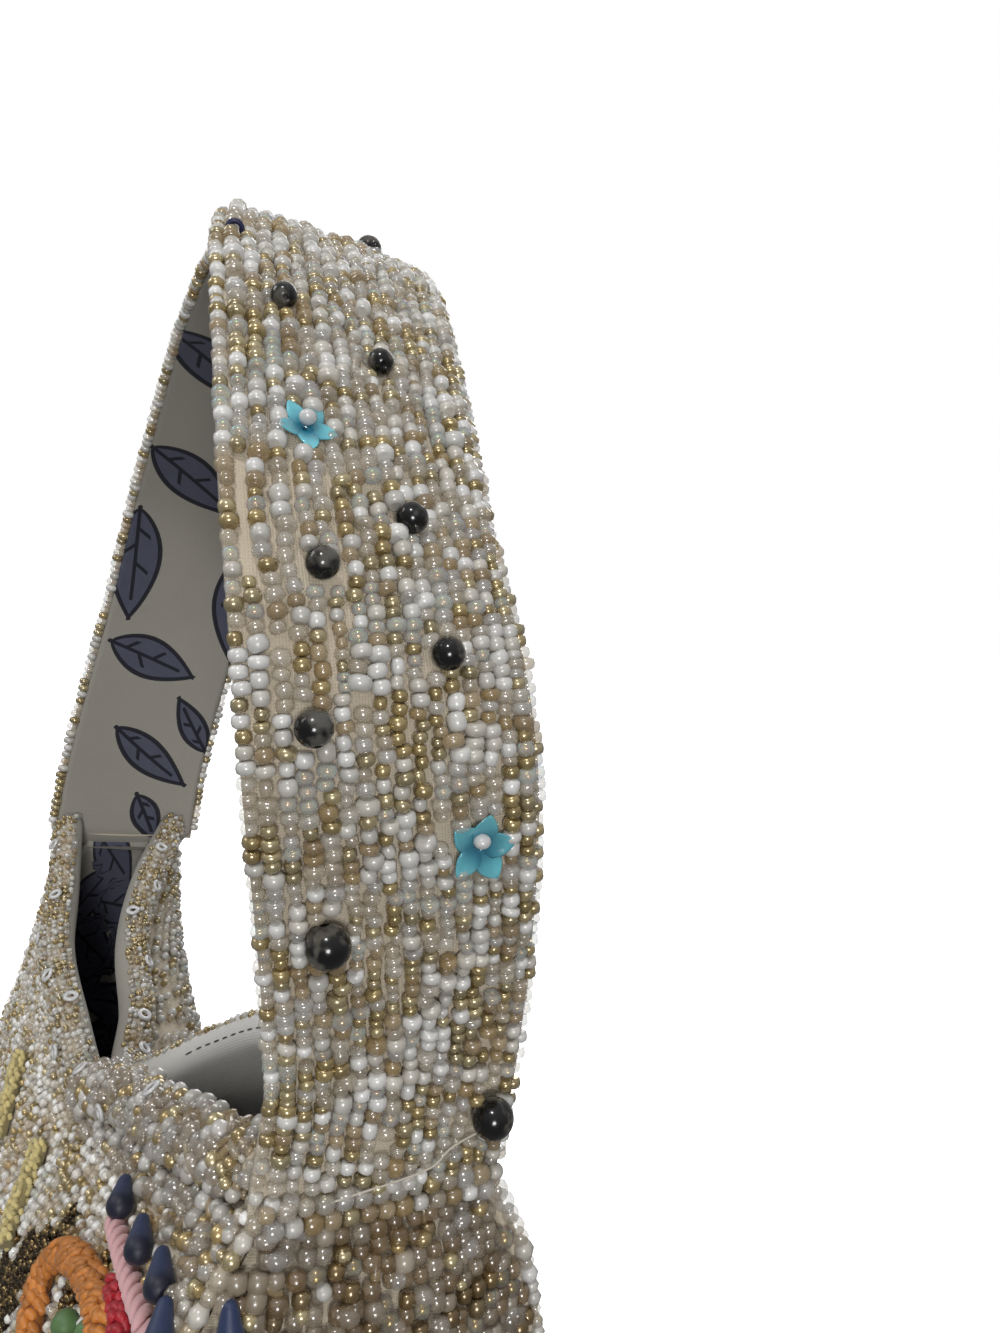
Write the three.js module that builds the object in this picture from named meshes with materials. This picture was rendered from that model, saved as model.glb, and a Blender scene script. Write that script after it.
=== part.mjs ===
// Beaded handbag: pinched soft body, rolled rim, printed lining and a wide arched strap
import * as THREE from 'three';

// Sizes in millimetres; +X is the end nearest the viewer, -Y the embroidered front, +Z up
const seamGap = 0.3;
const wallThickness = 2;
const liningThickness = 1;
const baseThickness = 2.5;
const wallFoot = 0.6;
const rimBaseHeight = 160;

// Strap: the rows trace the middle of its beaded face, the cloth lies under that face
const strapWidth = 45;
const strapClothWidth = 44;
const strapLiningWidth = 42;
const strapCrown = 1.2;
const strapClothDepth = 1.2;
const strapThickness = 2;
const strapRows = [
  { along: 0, x: 101.4, y: 0, rise: -4.5, yaw: 0, tilt: 0 },
  { along: 0.07, x: 101.7, y: -1, rise: 19.7, yaw: 1.5, tilt: -1 },
  { along: 0.16, x: 109.3, y: -15, rise: 68, yaw: 5.3, tilt: -1.7 },
  { along: 0.27, x: 93.7, y: -19.5, rise: 104, yaw: 1, tilt: -2.7 },
  { along: 0.385, x: 56, y: -14.5, rise: 140.5, yaw: 0, tilt: -0.5 },
  { along: 0.5, x: 9, y: -2, rise: 160.5, yaw: 1, tilt: 0 },
  { along: 0.615, x: -48.5, y: 4.5, rise: 150, yaw: 0, tilt: -0.5 },
  { along: 0.73, x: -87.5, y: 7, rise: 108.5, yaw: -0.5, tilt: 0 },
  { along: 0.84, x: -100.5, y: 6, rise: 68, yaw: -1.5, tilt: 0 },
  { along: 0.93, x: -102, y: 1, rise: 21, yaw: -2.5, tilt: 0 },
  { along: 1, x: -101.4, y: 0, rise: -4.5, yaw: 0, tilt: 0 },
];

// Rim: the middle of each padded roll, scooped and pinched towards the front
const rollHalfThickness = 3.8;
const rollHalfHeight = 4.2;
const rollWallOffset = 1.65;
const rollGap = 0.45;
const rollEnd = 96;
const rollSquareFrom = 78;
const rimCorner = 99.5;
const rimRows = [
  { x: -101, frontY: -17, frontDrop: 0, backY: 17, backDrop: 0 },
  { x: -76, frontY: -20, frontDrop: -18, backY: 3, backDrop: -15 },
  { x: -51, frontY: -24, frontDrop: -26.5, backY: -5, backDrop: -25 },
  { x: -25, frontY: -24, frontDrop: -33, backY: -8, backDrop: -33 },
  { x: 0, frontY: -22.5, frontDrop: -39, backY: -13.2, backDrop: -38 },
  { x: 25, frontY: -21, frontDrop: -27, backY: -2.5, backDrop: -19 },
  { x: 51, frontY: -20.5, frontDrop: -18, backY: 3.5, backDrop: -3 },
  { x: 76, frontY: -20, frontDrop: -9, backY: 10.5, backDrop: 1 },
  { x: 101, frontY: -18, frontDrop: 0, backY: 18, backDrop: 0 },
];

// Body sections from foot to rim: the side seams and how far the walls stand past them
const sideTop = 154.3;
const sectionRows = [
  { share: 0.0, seamX: 76, nearY: 25, farY: 24, frontBulge: 5, backBulge: 5, endBulge: 5 },
  { share: 0.04, seamX: 86, nearY: 32, farY: 29.5, frontBulge: 6, backBulge: 6, endBulge: 7 },
  { share: 0.14, seamX: 96.5, nearY: 38.5, farY: 33, frontBulge: 7, backBulge: 6, endBulge: 9 },
  { share: 0.4, seamX: 102, nearY: 41, farY: 32, frontBulge: 8, backBulge: 5, endBulge: 10 },
  { share: 0.75, seamX: 103, nearY: 37, farY: 22, frontBulge: 7, backBulge: -7, endBulge: 8 },
  { share: 0.9, seamX: 101.5, nearY: 29, farY: 19.5, frontBulge: 5.5, backBulge: -12, endBulge: 4 },
  { share: 1.0, seamX: 99.5, nearY: 19.65, farY: 18.65, frontBulge: 0, backBulge: 0, endBulge: 0.3 },
];

// Large beads: share along the strap rows and place across it; the far half repeats the near half
const darkBeadRows = [
  { along: 0.034, across: 16, diameter: 7 },
  { along: 0.112, across: -13, diameter: 6.7 },
  { along: 0.17, across: -13, diameter: 5.3 },
  { along: 0.191, across: 7.5, diameter: 4.9 },
  { along: 0.227, across: -10, diameter: 4.8 },
  { along: 0.252, across: 5, diameter: 4.9 },
  { along: 0.329, across: 4, diameter: 4.4 },
  { along: 0.348, across: -12, diameter: 4.4 },
];
const crestBeadRow = { along: 0.492, across: 9, diameter: 5.8 };
const flowerThickness = 2.2;
const flowerPetals = 5;
const flowerRows = [
  { along: 0.127, across: 11, diameter: 12 },
  { along: 0.285, across: -10, diameter: 9.5 },
];
const dropLength = 9;
const dropDiameter = 4.8;
const dropRows = [
  { wall: 'front', across: 0.618, share: 0.941, lean: 22 },
  { wall: 'front', across: 0.781, share: 0.926, lean: 22 },
  { wall: 'front', across: 0.905, share: 0.918, lean: 24 },
  { wall: 'front', across: 0.988, share: 0.888, lean: 42 },
  { wall: 'side', across: -0.887, share: 0.9, lean: 55 },
];

// Cloth and bead colours
const looks = {
  beadedCloth: { color: 0xd8cfbd, roughness: 0.55, metalness: 0.05 },
  printedCotton: { color: 0xa9a59c, roughness: 0.9, metalness: 0 },
  baseCloth: { color: 0xb9ae98, roughness: 0.9, metalness: 0 },
  hematite: { color: 0x3a3836, roughness: 0.2, metalness: 0.6 },
  turquoise: { color: 0x39b3c8, roughness: 0.25, metalness: 0 },
  navy: { color: 0x22304f, roughness: 0.6, metalness: 0 },
};

// Smooth curve through rows: cubic pieces whose slopes come from the rows on either side
function glide(knots, values, at) {
  const last = knots.length - 1;
  let i = 0;
  while (i < last - 1 && at >= knots[i + 1]) i += 1;
  const slope = (k) => {
    const a = Math.max(k - 1, 0);
    const b = Math.min(k + 1, last);
    return (values[b] - values[a]) / (knots[b] - knots[a]);
  };
  const step = knots[i + 1] - knots[i];
  const s = (at - knots[i]) / step;
  const s2 = s * s;
  const s3 = s2 * s;
  return (2 * s3 - 3 * s2 + 1) * values[i] + (s3 - 2 * s2 + s) * step * slope(i)
    + (3 * s2 - 2 * s3) * values[i + 1] + (s3 - s2) * step * slope(i + 1);
}

const column = (rows, name) => rows.map((row) => row[name]);
const lerp = (a, b, t) => a + (b - a) * t;
const spread = (count, from, to) => Array.from({ length: count + 1 }, (_, i) => lerp(from, to, i / count));

// Strap face: place along the rows, place across, height over the face
const strapKnots = column(strapRows, 'along');
const strapColumns = {};
for (const name of ['x', 'y', 'rise', 'yaw', 'tilt']) strapColumns[name] = column(strapRows, name);

function strapMiddle(along) {
  const read = (name) => glide(strapKnots, strapColumns[name], along);
  return new THREE.Vector3(read('x'), read('y'), rimBaseHeight + read('rise'));
}

function strapFrame(along) {
  const nudge = 1e-4;
  const ahead = strapMiddle(Math.min(along + nudge, 1));
  const tangent = ahead.sub(strapMiddle(Math.max(along - nudge, 0))).normalize();
  const yaw = THREE.MathUtils.degToRad(glide(strapKnots, strapColumns.yaw, along));
  const tilt = THREE.MathUtils.degToRad(glide(strapKnots, strapColumns.tilt, along));
  const wide = new THREE.Vector3(
    Math.sin(yaw) * Math.cos(tilt),
    Math.cos(yaw) * Math.cos(tilt),
    Math.sin(tilt),
  );
  wide.addScaledVector(tangent, -wide.dot(tangent)).normalize();
  const normal = new THREE.Vector3().crossVectors(wide, tangent);
  return { middle: strapMiddle(along), tangent, wide, normal };
}

function strapPoint(along, across, height) {
  const { middle, wide, normal } = strapFrame(along);
  const crown = strapCrown * (1 - (2 * across / strapWidth) ** 2);
  return middle.addScaledVector(wide, across).addScaledVector(normal, height + crown);
}

// Rim roll: middle line and the two directions of its section
const rimKnots = column(rimRows, 'x');
const rimLines = {
  front: { y: column(rimRows, 'frontY'), drop: column(rimRows, 'frontDrop'), sign: -1 },
  back: { y: column(rimRows, 'backY'), drop: column(rimRows, 'backDrop'), sign: 1 },
};

function rimMiddle(x, line) {
  return new THREE.Vector3(x, glide(rimKnots, line.y, x), rimBaseHeight + glide(rimKnots, line.drop, x));
}

function rimFrame(x, line) {
  const tangent = rimMiddle(x + 0.5, line).sub(rimMiddle(x - 0.5, line)).normalize();
  const squared = THREE.MathUtils.smoothstep(Math.abs(x), rollSquareFrom, rollEnd);
  tangent.lerp(new THREE.Vector3(1, 0, 0), squared).normalize();
  const side = new THREE.Vector3().crossVectors(tangent, new THREE.Vector3(0, 0, 1)).normalize();
  const up = new THREE.Vector3().crossVectors(side, tangent);
  return { middle: rimMiddle(x, line), side, up };
}

// Front and back walls: across runs from the far seam to the near seam, share from foot to rim
const shares = column(sectionRows, 'share');

function wallTop(across, line) {
  const x = across * rimCorner;
  const { middle, up } = rimFrame(x, line);
  middle.addScaledVector(up, -(rollHalfHeight + rollGap));
  middle.y += line.sign * rollWallOffset;
  return middle;
}

function wallPoint(across, share, line) {
  const bulgeName = line.sign < 0 ? 'frontBulge' : 'backBulge';
  const top = wallTop(across, line);
  const open = 1 - across * across;
  const xs = sectionRows.map((row) => across * row.seamX);
  const ys = sectionRows.map((row) => {
    const seamY = lerp(row.farY, row.nearY, (1 + across) / 2);
    return line.sign * (seamY + row[bulgeName] * open);
  });
  xs[xs.length - 1] = top.x;
  ys[ys.length - 1] = top.y;
  return new THREE.Vector3(
    glide(shares, xs, share),
    glide(shares, ys, share),
    lerp(wallFoot, top.z, share),
  );
}

// Outward normal of a surface, found from nearby points, and a point moved inwards along it
function surfaceNormal(surfaceAt, u, v) {
  const nudge = 1e-3;
  const alongU = surfaceAt(Math.min(u + nudge, 1), v).sub(surfaceAt(Math.max(u - nudge, -1), v));
  const alongV = surfaceAt(u, Math.min(v + nudge, 1)).sub(surfaceAt(u, Math.max(v - nudge, 0)));
  return alongU.cross(alongV).normalize();
}

function insetPoint(surfaceAt, u, v, depth) {
  return surfaceAt(u, v).addScaledVector(surfaceNormal(surfaceAt, u, v), -depth);
}

// Side walls: across runs from the front seam to the back seam, inside the other two walls
function sideReach(share, sign, line) {
  const surfaceAt = (u, v) => wallPoint(u, v, line);
  const seamY = Math.abs(surfaceAt(sign, share).y);
  const normal = surfaceNormal(surfaceAt, sign, share);
  const slant = Math.max(0, sign * line.sign * normal.x);
  return seamY - (wallThickness + seamGap + slant * wallThickness) / Math.abs(normal.y);
}

function sidePoint(across, share, sign) {
  const seamX = glide(shares, column(sectionRows, 'seamX'), share);
  const bulge = glide(shares, column(sectionRows, 'endBulge'), share);
  const reach = sideReach(share, sign, across < 0 ? rimLines.front : rimLines.back);
  return new THREE.Vector3(
    sign * (seamX + bulge * (1 - across * across)),
    across * reach,
    lerp(wallFoot, sideTop, share),
  );
}

// Closed solid from indexed points
function solid(points, faces) {
  const geometry = new THREE.BufferGeometry();
  const flat = points.flatMap((p) => [p.x, p.y, p.z]);
  geometry.setAttribute('position', new THREE.Float32BufferAttribute(flat, 3));
  geometry.setIndex(faces);
  geometry.computeVertexNormals();
  return geometry;
}

// Cloth of even thickness: an outer and an inner grid joined along their four borders
function clothGeometry(outerAt, innerAt, us, vs) {
  const wide = us.length;
  const layer = wide * vs.length;
  const points = [];
  for (const at of [outerAt, innerAt]) {
    for (const v of vs) for (const u of us) points.push(at(u, v));
  }
  const faces = [];
  const quad = (a, b, c, d) => faces.push(a, b, c, a, c, d);
  const out = (i, j) => j * wide + i;
  const inn = (i, j) => layer + j * wide + i;
  const right = wide - 1;
  const top = vs.length - 1;
  for (let j = 0; j < top; j += 1) {
    for (let i = 0; i < right; i += 1) {
      quad(out(i, j), out(i + 1, j), out(i + 1, j + 1), out(i, j + 1));
      quad(inn(i, j), inn(i, j + 1), inn(i + 1, j + 1), inn(i + 1, j));
    }
    quad(out(0, j), out(0, j + 1), inn(0, j + 1), inn(0, j));
    quad(inn(right, j), inn(right, j + 1), out(right, j + 1), out(right, j));
  }
  for (let i = 0; i < right; i += 1) {
    quad(inn(i, 0), inn(i + 1, 0), out(i + 1, 0), out(i, 0));
    quad(out(i, top), out(i + 1, top), inn(i + 1, top), inn(i, top));
  }
  return solid(points, faces);
}

// Tube with flat ends from rings of points
function tubeGeometry(rings) {
  const sides = rings[0].length;
  const points = rings.flat();
  const faces = [];
  const id = (r, s) => r * sides + (s % sides);
  const last = rings.length - 1;
  for (let r = 0; r < last; r += 1) {
    for (let s = 0; s < sides; s += 1) {
      faces.push(id(r, s), id(r, s + 1), id(r + 1, s + 1), id(r, s), id(r + 1, s + 1), id(r + 1, s));
    }
  }
  for (let s = 1; s < sides - 1; s += 1) {
    faces.push(id(0, 0), id(0, s + 1), id(0, s));
    faces.push(id(last, 0), id(last, s), id(last, s + 1));
  }
  return solid(points, faces);
}

// Cup of even thickness from outer and inner rings, floor first, each floor a fan to its middle
function cupGeometry(outerRings, innerRings) {
  const sides = outerRings[0].length;
  const rows = outerRings.length;
  const points = [...outerRings.flat(), ...innerRings.flat()];
  const middle = (ring) => ring.reduce((sum, p) => sum.add(p), new THREE.Vector3()).divideScalar(sides);
  const outerMiddle = points.push(middle(outerRings[0])) - 1;
  const innerMiddle = points.push(middle(innerRings[0])) - 1;
  const out = (r, s) => r * sides + (s % sides);
  const inn = (r, s) => (rows + r) * sides + (s % sides);
  const faces = [];
  for (let s = 0; s < sides; s += 1) {
    faces.push(outerMiddle, out(0, s + 1), out(0, s));
    faces.push(innerMiddle, inn(0, s), inn(0, s + 1));
    for (let r = 0; r < rows - 1; r += 1) {
      faces.push(out(r, s), out(r, s + 1), out(r + 1, s + 1), out(r, s), out(r + 1, s + 1), out(r + 1, s));
      faces.push(inn(r, s), inn(r + 1, s + 1), inn(r, s + 1), inn(r, s), inn(r + 1, s), inn(r + 1, s + 1));
    }
    const top = rows - 1;
    faces.push(out(top, s), out(top, s + 1), inn(top, s + 1), out(top, s), inn(top, s + 1), inn(top, s));
  }
  return solid(points, faces);
}

const group = new THREE.Group();
group.name = 'beaded_handbag';

function addPiece(name, geometry, look) {
  const mesh = new THREE.Mesh(geometry, new THREE.MeshStandardMaterial(looks[look]));
  mesh.name = name;
  group.add(mesh);
}

// Front and back walls
const wallShares = [0, 0.02, 0.05, 0.1, 0.18, 0.34, 0.52, 0.68, 0.8, 0.88, 0.94, 1];
const wallColumns = 24;
for (const [name, line] of [['front_panel', rimLines.front], ['back_panel', rimLines.back]]) {
  const surfaceAt = (u, v) => wallPoint(-line.sign * u, v, line);
  const innerAt = (u, v) => insetPoint(surfaceAt, u, v, wallThickness);
  addPiece(name, clothGeometry(surfaceAt, innerAt, spread(wallColumns, -1, 1), wallShares), 'beadedCloth');
}

// Side walls
const sideColumns = 6;
for (const [name, sign] of [['near_side_panel', 1], ['far_side_panel', -1]]) {
  const surfaceAt = (u, v) => sidePoint(sign * u, v, sign);
  const innerAt = (u, v) => insetPoint(surfaceAt, u, v, wallThickness);
  addPiece(name, clothGeometry(surfaceAt, innerAt, spread(sideColumns, -1, 1), wallShares), 'beadedCloth');
}

// Outline inside the walls at one height, front seam round to the far side
const wallPlaces = spread(wallColumns, -1, 1).slice(1, -1);
const sidePlaces = spread(sideColumns, -1, 1).slice(1, -1);

function insideLoop(share, depth) {
  const stretch = (places, surfaceAt) => places.map((u) => insetPoint(surfaceAt, u, share, depth));
  return [
    ...stretch(wallPlaces, (u, v) => wallPoint(u, v, rimLines.front)),
    ...stretch(sidePlaces, (u, v) => sidePoint(u, v, 1)),
    ...stretch(wallPlaces, (u, v) => wallPoint(-u, v, rimLines.back)),
    ...stretch(sidePlaces, (u, v) => sidePoint(-u, v, -1)),
  ];
}

// Base under the lining
const baseInset = wallThickness + seamGap + 0.2;
const baseOutline = insideLoop(0, baseInset).map((p) => new THREE.Vector2(p.x, p.y));
const baseGeometry = new THREE.ExtrudeGeometry(new THREE.Shape(baseOutline), {
  depth: baseThickness,
  bevelEnabled: false,
  steps: 1,
});
addPiece('base_panel', baseGeometry, 'baseCloth');

// Printed lining, one sewn cup
const liningShares = wallShares.slice(2);
const liningOuterDepth = wallThickness + seamGap;
const liningInnerDepth = liningOuterDepth + liningThickness;
const liningFloor = baseThickness + seamGap;
const floorRing = (depth, height) => insideLoop(0, depth).map((p) => p.setZ(height));
addPiece('bag_lining', cupGeometry(
  [floorRing(baseInset + seamGap, liningFloor), ...liningShares.map((s) => insideLoop(s, liningOuterDepth))],
  [
    floorRing(baseInset + seamGap + liningThickness, liningFloor + liningThickness),
    ...liningShares.map((s) => insideLoop(s, liningInnerDepth)),
  ],
), 'printedCotton');

// Padded rim rolls
const rollSides = 8;
const rollStations = 40;
for (const [name, line] of [['front_rim_roll', rimLines.front], ['back_rim_roll', rimLines.back]]) {
  const rings = spread(rollStations, rollEnd, -rollEnd).map((x) => {
    const { middle, side, up } = rimFrame(x, line);
    return spread(rollSides - 1, 0, 2 * Math.PI * (1 - 1 / rollSides)).map((angle) => middle.clone()
      .addScaledVector(side, rollHalfThickness * Math.cos(angle))
      .addScaledVector(up, rollHalfHeight * Math.sin(angle)));
  });
  addPiece(name, tubeGeometry(rings), 'beadedCloth');
}

// Strap cloth and its printed lining
const strapStations = 48;
const strapLayers = [
  { name: 'strap_band', width: strapClothWidth, top: -strapClothDepth, thickness: strapThickness, columns: 4, look: 'beadedCloth' },
  {
    name: 'strap_lining',
    width: strapLiningWidth,
    top: -strapClothDepth - strapThickness - seamGap,
    thickness: liningThickness,
    columns: 2,
    look: 'printedCotton',
  },
];
for (const layer of strapLayers) {
  const half = layer.width / 2;
  addPiece(layer.name, clothGeometry(
    (u, v) => strapPoint(v, half * u, layer.top),
    (u, v) => strapPoint(v, half * u, layer.top - layer.thickness),
    spread(layer.columns, -1, 1),
    spread(strapStations, 0, 1),
  ), layer.look);
}

// Both halves of a bead table: the far half turns the near half about the crest
const bothHalves = (rows) => [
  ...rows,
  ...rows.map((row) => ({ ...row, along: 1 - row.along, across: -row.across })).reverse(),
];

// Frame on the strap cloth, for a bead that sits on it
function strapSeat(row, height) {
  const { tangent, wide, normal } = strapFrame(row.along);
  const place = strapPoint(row.along, row.across, -strapClothDepth + seamGap + height);
  return new THREE.Matrix4().makeBasis(wide, tangent, normal).setPosition(place);
}

// Dark round beads
const darkBeadSides = 12;
const darkBeadRings = 6;
[...bothHalves(darkBeadRows), crestBeadRow].forEach((row, i) => {
  const radius = row.diameter / 2;
  const geometry = new THREE.SphereGeometry(radius, darkBeadSides, darkBeadRings);
  geometry.applyMatrix4(strapSeat(row, radius));
  addPiece(`dark_bead_${String(i + 1).padStart(2, '0')}`, geometry, 'hematite');
});

// Turquoise flowers: a lobed outline, extruded
const flowerSteps = 6;
const flowerNotch = 0.42;
bothHalves(flowerRows).forEach((row, i) => {
  const outline = spread(flowerPetals * flowerSteps - 1, 0, 2 * Math.PI * (1 - 1 / (flowerPetals * flowerSteps)))
    .map((angle) => {
      const lobe = Math.abs(Math.cos(flowerPetals * angle / 2)) ** 0.7;
      const radius = row.diameter / 2 * (1 - flowerNotch + flowerNotch * lobe);
      return new THREE.Vector2(radius * Math.cos(angle), radius * Math.sin(angle));
    });
  const geometry = new THREE.ExtrudeGeometry(new THREE.Shape(outline), {
    depth: flowerThickness,
    bevelEnabled: false,
    steps: 1,
  });
  geometry.applyMatrix4(strapSeat(row, 0));
  addPiece(`flower_bead_${i + 1}`, geometry, 'turquoise');
});

// Navy drops along the front rim, narrow end up and towards the far end
const dropProfile = [
  { along: 0, radius: 0 },
  { along: 0.06, radius: 0.2 },
  { along: 0.3, radius: 0.3 },
  { along: 0.55, radius: 0.43 },
  { along: 0.75, radius: 0.5 },
  { along: 0.92, radius: 0.34 },
  { along: 1, radius: 0 },
];
const dropSides = 10;
dropRows.forEach((row, i) => {
  const surfaceAt = row.wall === 'side'
    ? (u, v) => sidePoint(u, v, 1)
    : (u, v) => wallPoint(u, v, rimLines.front);
  const place = surfaceAt(row.across, row.share);
  const normal = surfaceNormal(surfaceAt, row.across, row.share);
  const lean = THREE.MathUtils.degToRad(row.lean);
  const axis = new THREE.Vector3(Math.cos(lean), 0, -Math.sin(lean));
  axis.addScaledVector(normal, -axis.dot(normal)).normalize();
  const third = new THREE.Vector3().crossVectors(axis, normal);
  place.addScaledVector(normal, dropDiameter / 2 + seamGap + 0.4).addScaledVector(axis, -dropLength / 2);
  const points = dropProfile.map((p) => new THREE.Vector2(p.radius * dropDiameter, p.along * dropLength));
  const geometry = new THREE.LatheGeometry(points, dropSides);
  geometry.applyMatrix4(new THREE.Matrix4().makeBasis(third, axis, normal).setPosition(place));
  addPiece(`navy_drop_${i + 1}`, geometry, 'navy');
});

export default group;
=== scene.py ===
# Beaded handbag: cloth, printed lining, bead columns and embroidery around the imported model
import math

import bpy
import numpy as np
from mathutils import Matrix


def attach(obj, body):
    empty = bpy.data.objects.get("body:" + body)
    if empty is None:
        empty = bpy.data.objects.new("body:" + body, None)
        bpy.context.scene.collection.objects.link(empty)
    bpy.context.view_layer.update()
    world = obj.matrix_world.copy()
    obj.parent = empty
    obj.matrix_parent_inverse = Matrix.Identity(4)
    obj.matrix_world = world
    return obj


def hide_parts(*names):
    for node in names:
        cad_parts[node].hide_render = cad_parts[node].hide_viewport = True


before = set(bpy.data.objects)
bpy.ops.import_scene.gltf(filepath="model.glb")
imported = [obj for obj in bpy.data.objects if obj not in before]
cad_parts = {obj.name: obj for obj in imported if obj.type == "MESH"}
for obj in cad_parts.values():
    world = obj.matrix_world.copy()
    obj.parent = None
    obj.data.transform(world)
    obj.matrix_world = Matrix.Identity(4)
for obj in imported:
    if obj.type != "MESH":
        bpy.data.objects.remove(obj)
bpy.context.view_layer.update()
mm = 0.001
draw = np.random.default_rng(41)
print("frame loaded")


# Curves: cubic pieces through the rows, each slope taken from the rows on either side
def glide(knots, values, at):
    knots = np.asarray(knots, float)
    values = np.asarray(values, float)
    slopes = np.empty_like(values)
    spread = (knots[2:] - knots[:-2]).reshape((-1,) + (1,) * (values.ndim - 1))
    slopes[1:-1] = (values[2:] - values[:-2]) / spread
    slopes[0] = (values[1] - values[0]) / (knots[1] - knots[0])
    slopes[-1] = (values[-1] - values[-2]) / (knots[-1] - knots[-2])
    at = np.asarray(at, float)
    i = np.clip(np.searchsorted(knots, at, side="right") - 1, 0, len(knots) - 2)
    step = knots[i + 1] - knots[i]
    s = (at - knots[i]) / step
    parts = [2 * s**3 - 3 * s**2 + 1, (s**3 - 2 * s**2 + s) * step, 3 * s**2 - 2 * s**3, (s**3 - s**2) * step]
    if values.ndim > 1:
        parts = [p[..., None] for p in parts]
    return parts[0] * values[i] + parts[1] * slopes[i] + parts[2] * values[i + 1] + parts[3] * slopes[i + 1]


def unit(v):
    return v / np.maximum(np.linalg.norm(v, axis=-1, keepdims=True), 1e-12)


def smooth(low, high, x):
    t = np.clip((x - low) / (high - low), 0, 1)
    return t * t * (3 - 2 * t)


# Distance run along a path, at each of its points
def runOf(path):
    return np.concatenate([[0], np.cumsum(np.linalg.norm(np.diff(path, axis=0), axis=1))])


# Strap rows: along, x, y, rise, yaw, tilt, in millimetres and degrees as in the solids
strap = dict(width=45.0, crown=1.2, clothWidth=44.0, clothDepth=1.2, clothThick=2.0,
             liningWidth=42.0, liningThick=1.0)
rimBase = 160.0
seamGap = 0.3
strapRows = np.array([
    [0.00, 101.4, 0.0, -4.5, 0.0, 0.0],
    [0.07, 101.7, -1.0, 19.7, 1.5, -1.0],
    [0.16, 109.3, -15.0, 68.0, 5.3, -1.7],
    [0.27, 93.7, -19.5, 104.0, 1.0, -2.7],
    [0.385, 56.0, -14.5, 140.5, 0.0, -0.5],
    [0.50, 9.0, -2.0, 160.5, 1.0, 0.0],
    [0.615, -48.5, 4.5, 150.0, 0.0, -0.5],
    [0.73, -87.5, 7.0, 108.5, -0.5, 0.0],
    [0.84, -100.5, 6.0, 68.0, -1.5, 0.0],
    [0.93, -102.0, 1.0, 21.0, -2.5, 0.0],
    [1.00, -101.4, 0.0, -4.5, 0.0, 0.0],
])


# Strap frame: middle, direction along, direction across made square to it, and their normal
def strapFrame(along):
    along = np.asarray(along, float)
    rows = glide(strapRows[:, 0], strapRows[:, 1:], along)
    ahead = glide(strapRows[:, 0], strapRows[:, 1:4], np.clip(along + 1e-4, 0, 1))
    behind = glide(strapRows[:, 0], strapRows[:, 1:4], np.clip(along - 1e-4, 0, 1))
    tangent = unit(ahead - behind)
    yaw = np.radians(rows[..., 3])
    tilt = np.radians(rows[..., 4])
    wide = np.stack([np.sin(yaw) * np.cos(tilt), np.cos(yaw) * np.cos(tilt), np.sin(tilt)], -1)
    wide = unit(wide - (wide * tangent).sum(-1, keepdims=True) * tangent)
    return rows[..., :3] + np.array([0, 0, rimBase]), tangent, wide, np.cross(wide, tangent)


# Strap point: across the width and up from a face that is crowned by a parabola
def strapPoint(along, across, height):
    middle, _, wide, normal = strapFrame(along)
    lift = height + strap["crown"] * (1 - (2 * across / strap["width"]) ** 2)
    return middle + across[..., None] * wide + lift[..., None] * normal


strapSteps = np.linspace(0, 1, 2001)
strapArc = runOf(strapPoint(strapSteps, 0 * strapSteps, 0 * strapSteps))
strapLength = strapArc[-1]

# Rim rows: x, then y and drop of the front roll, then of the back roll
roll = dict(halfThick=3.8, halfHigh=4.2, wallOffset=1.65, gap=0.45, end=96.0, squareFrom=78.0, corner=99.5)
rimRows = np.array([
    [-101, -17.0, 0.0, 17.0, 0.0],
    [-76, -20.0, -18.0, 3.0, -15.0],
    [-51, -24.0, -26.5, -5.0, -25.0],
    [-25, -24.0, -33.0, -8.0, -33.0],
    [0, -22.5, -39.0, -13.2, -38.0],
    [25, -21.0, -27.0, -2.5, -19.0],
    [51, -20.5, -18.0, 3.5, -3.0],
    [76, -20.0, -9.0, 10.5, 1.0],
    [101, -18.0, 0.0, 18.0, 0.0],
])


def rimMiddle(x, sign):
    rows = glide(rimRows[:, 0], rimRows[:, 1:3] if sign < 0 else rimRows[:, 3:5], x)
    return np.stack([x + 0 * rows[..., 0], rows[..., 0], rimBase + rows[..., 1]], -1)


# Rim frame: the roll's middle line, turned square to X at its ends
def rimFrame(x, sign):
    x = np.asarray(x, float)
    tangent = unit(rimMiddle(x + 0.5, sign) - rimMiddle(x - 0.5, sign))
    squared = smooth(roll["squareFrom"], roll["end"], np.abs(x))[..., None]
    tangent = unit(tangent * (1 - squared) + np.array([1.0, 0, 0]) * squared)
    side = unit(np.cross(tangent, np.array([0, 0, 1.0])))
    return rimMiddle(x, sign), tangent, side, np.cross(side, tangent)


# Section rows from foot to rim: share, seamX, nearY, farY, frontBulge, backBulge, endBulge
wall = dict(foot=0.6, sideTop=154.3, thick=2.0)
sections = np.array([
    [0.00, 76.0, 25.0, 24.0, 5.0, 5.0, 5.0],
    [0.04, 86.0, 32.0, 29.5, 6.0, 6.0, 7.0],
    [0.14, 96.5, 38.5, 33.0, 7.0, 6.0, 9.0],
    [0.40, 102.0, 41.0, 32.0, 8.0, 5.0, 10.0],
    [0.75, 103.0, 37.0, 22.0, 7.0, -7.0, 8.0],
    [0.90, 101.5, 29.0, 19.5, 5.5, -12.0, 4.0],
    [1.00, 99.5, 19.65, 18.65, 0.0, 0.0, 0.3],
])


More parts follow.
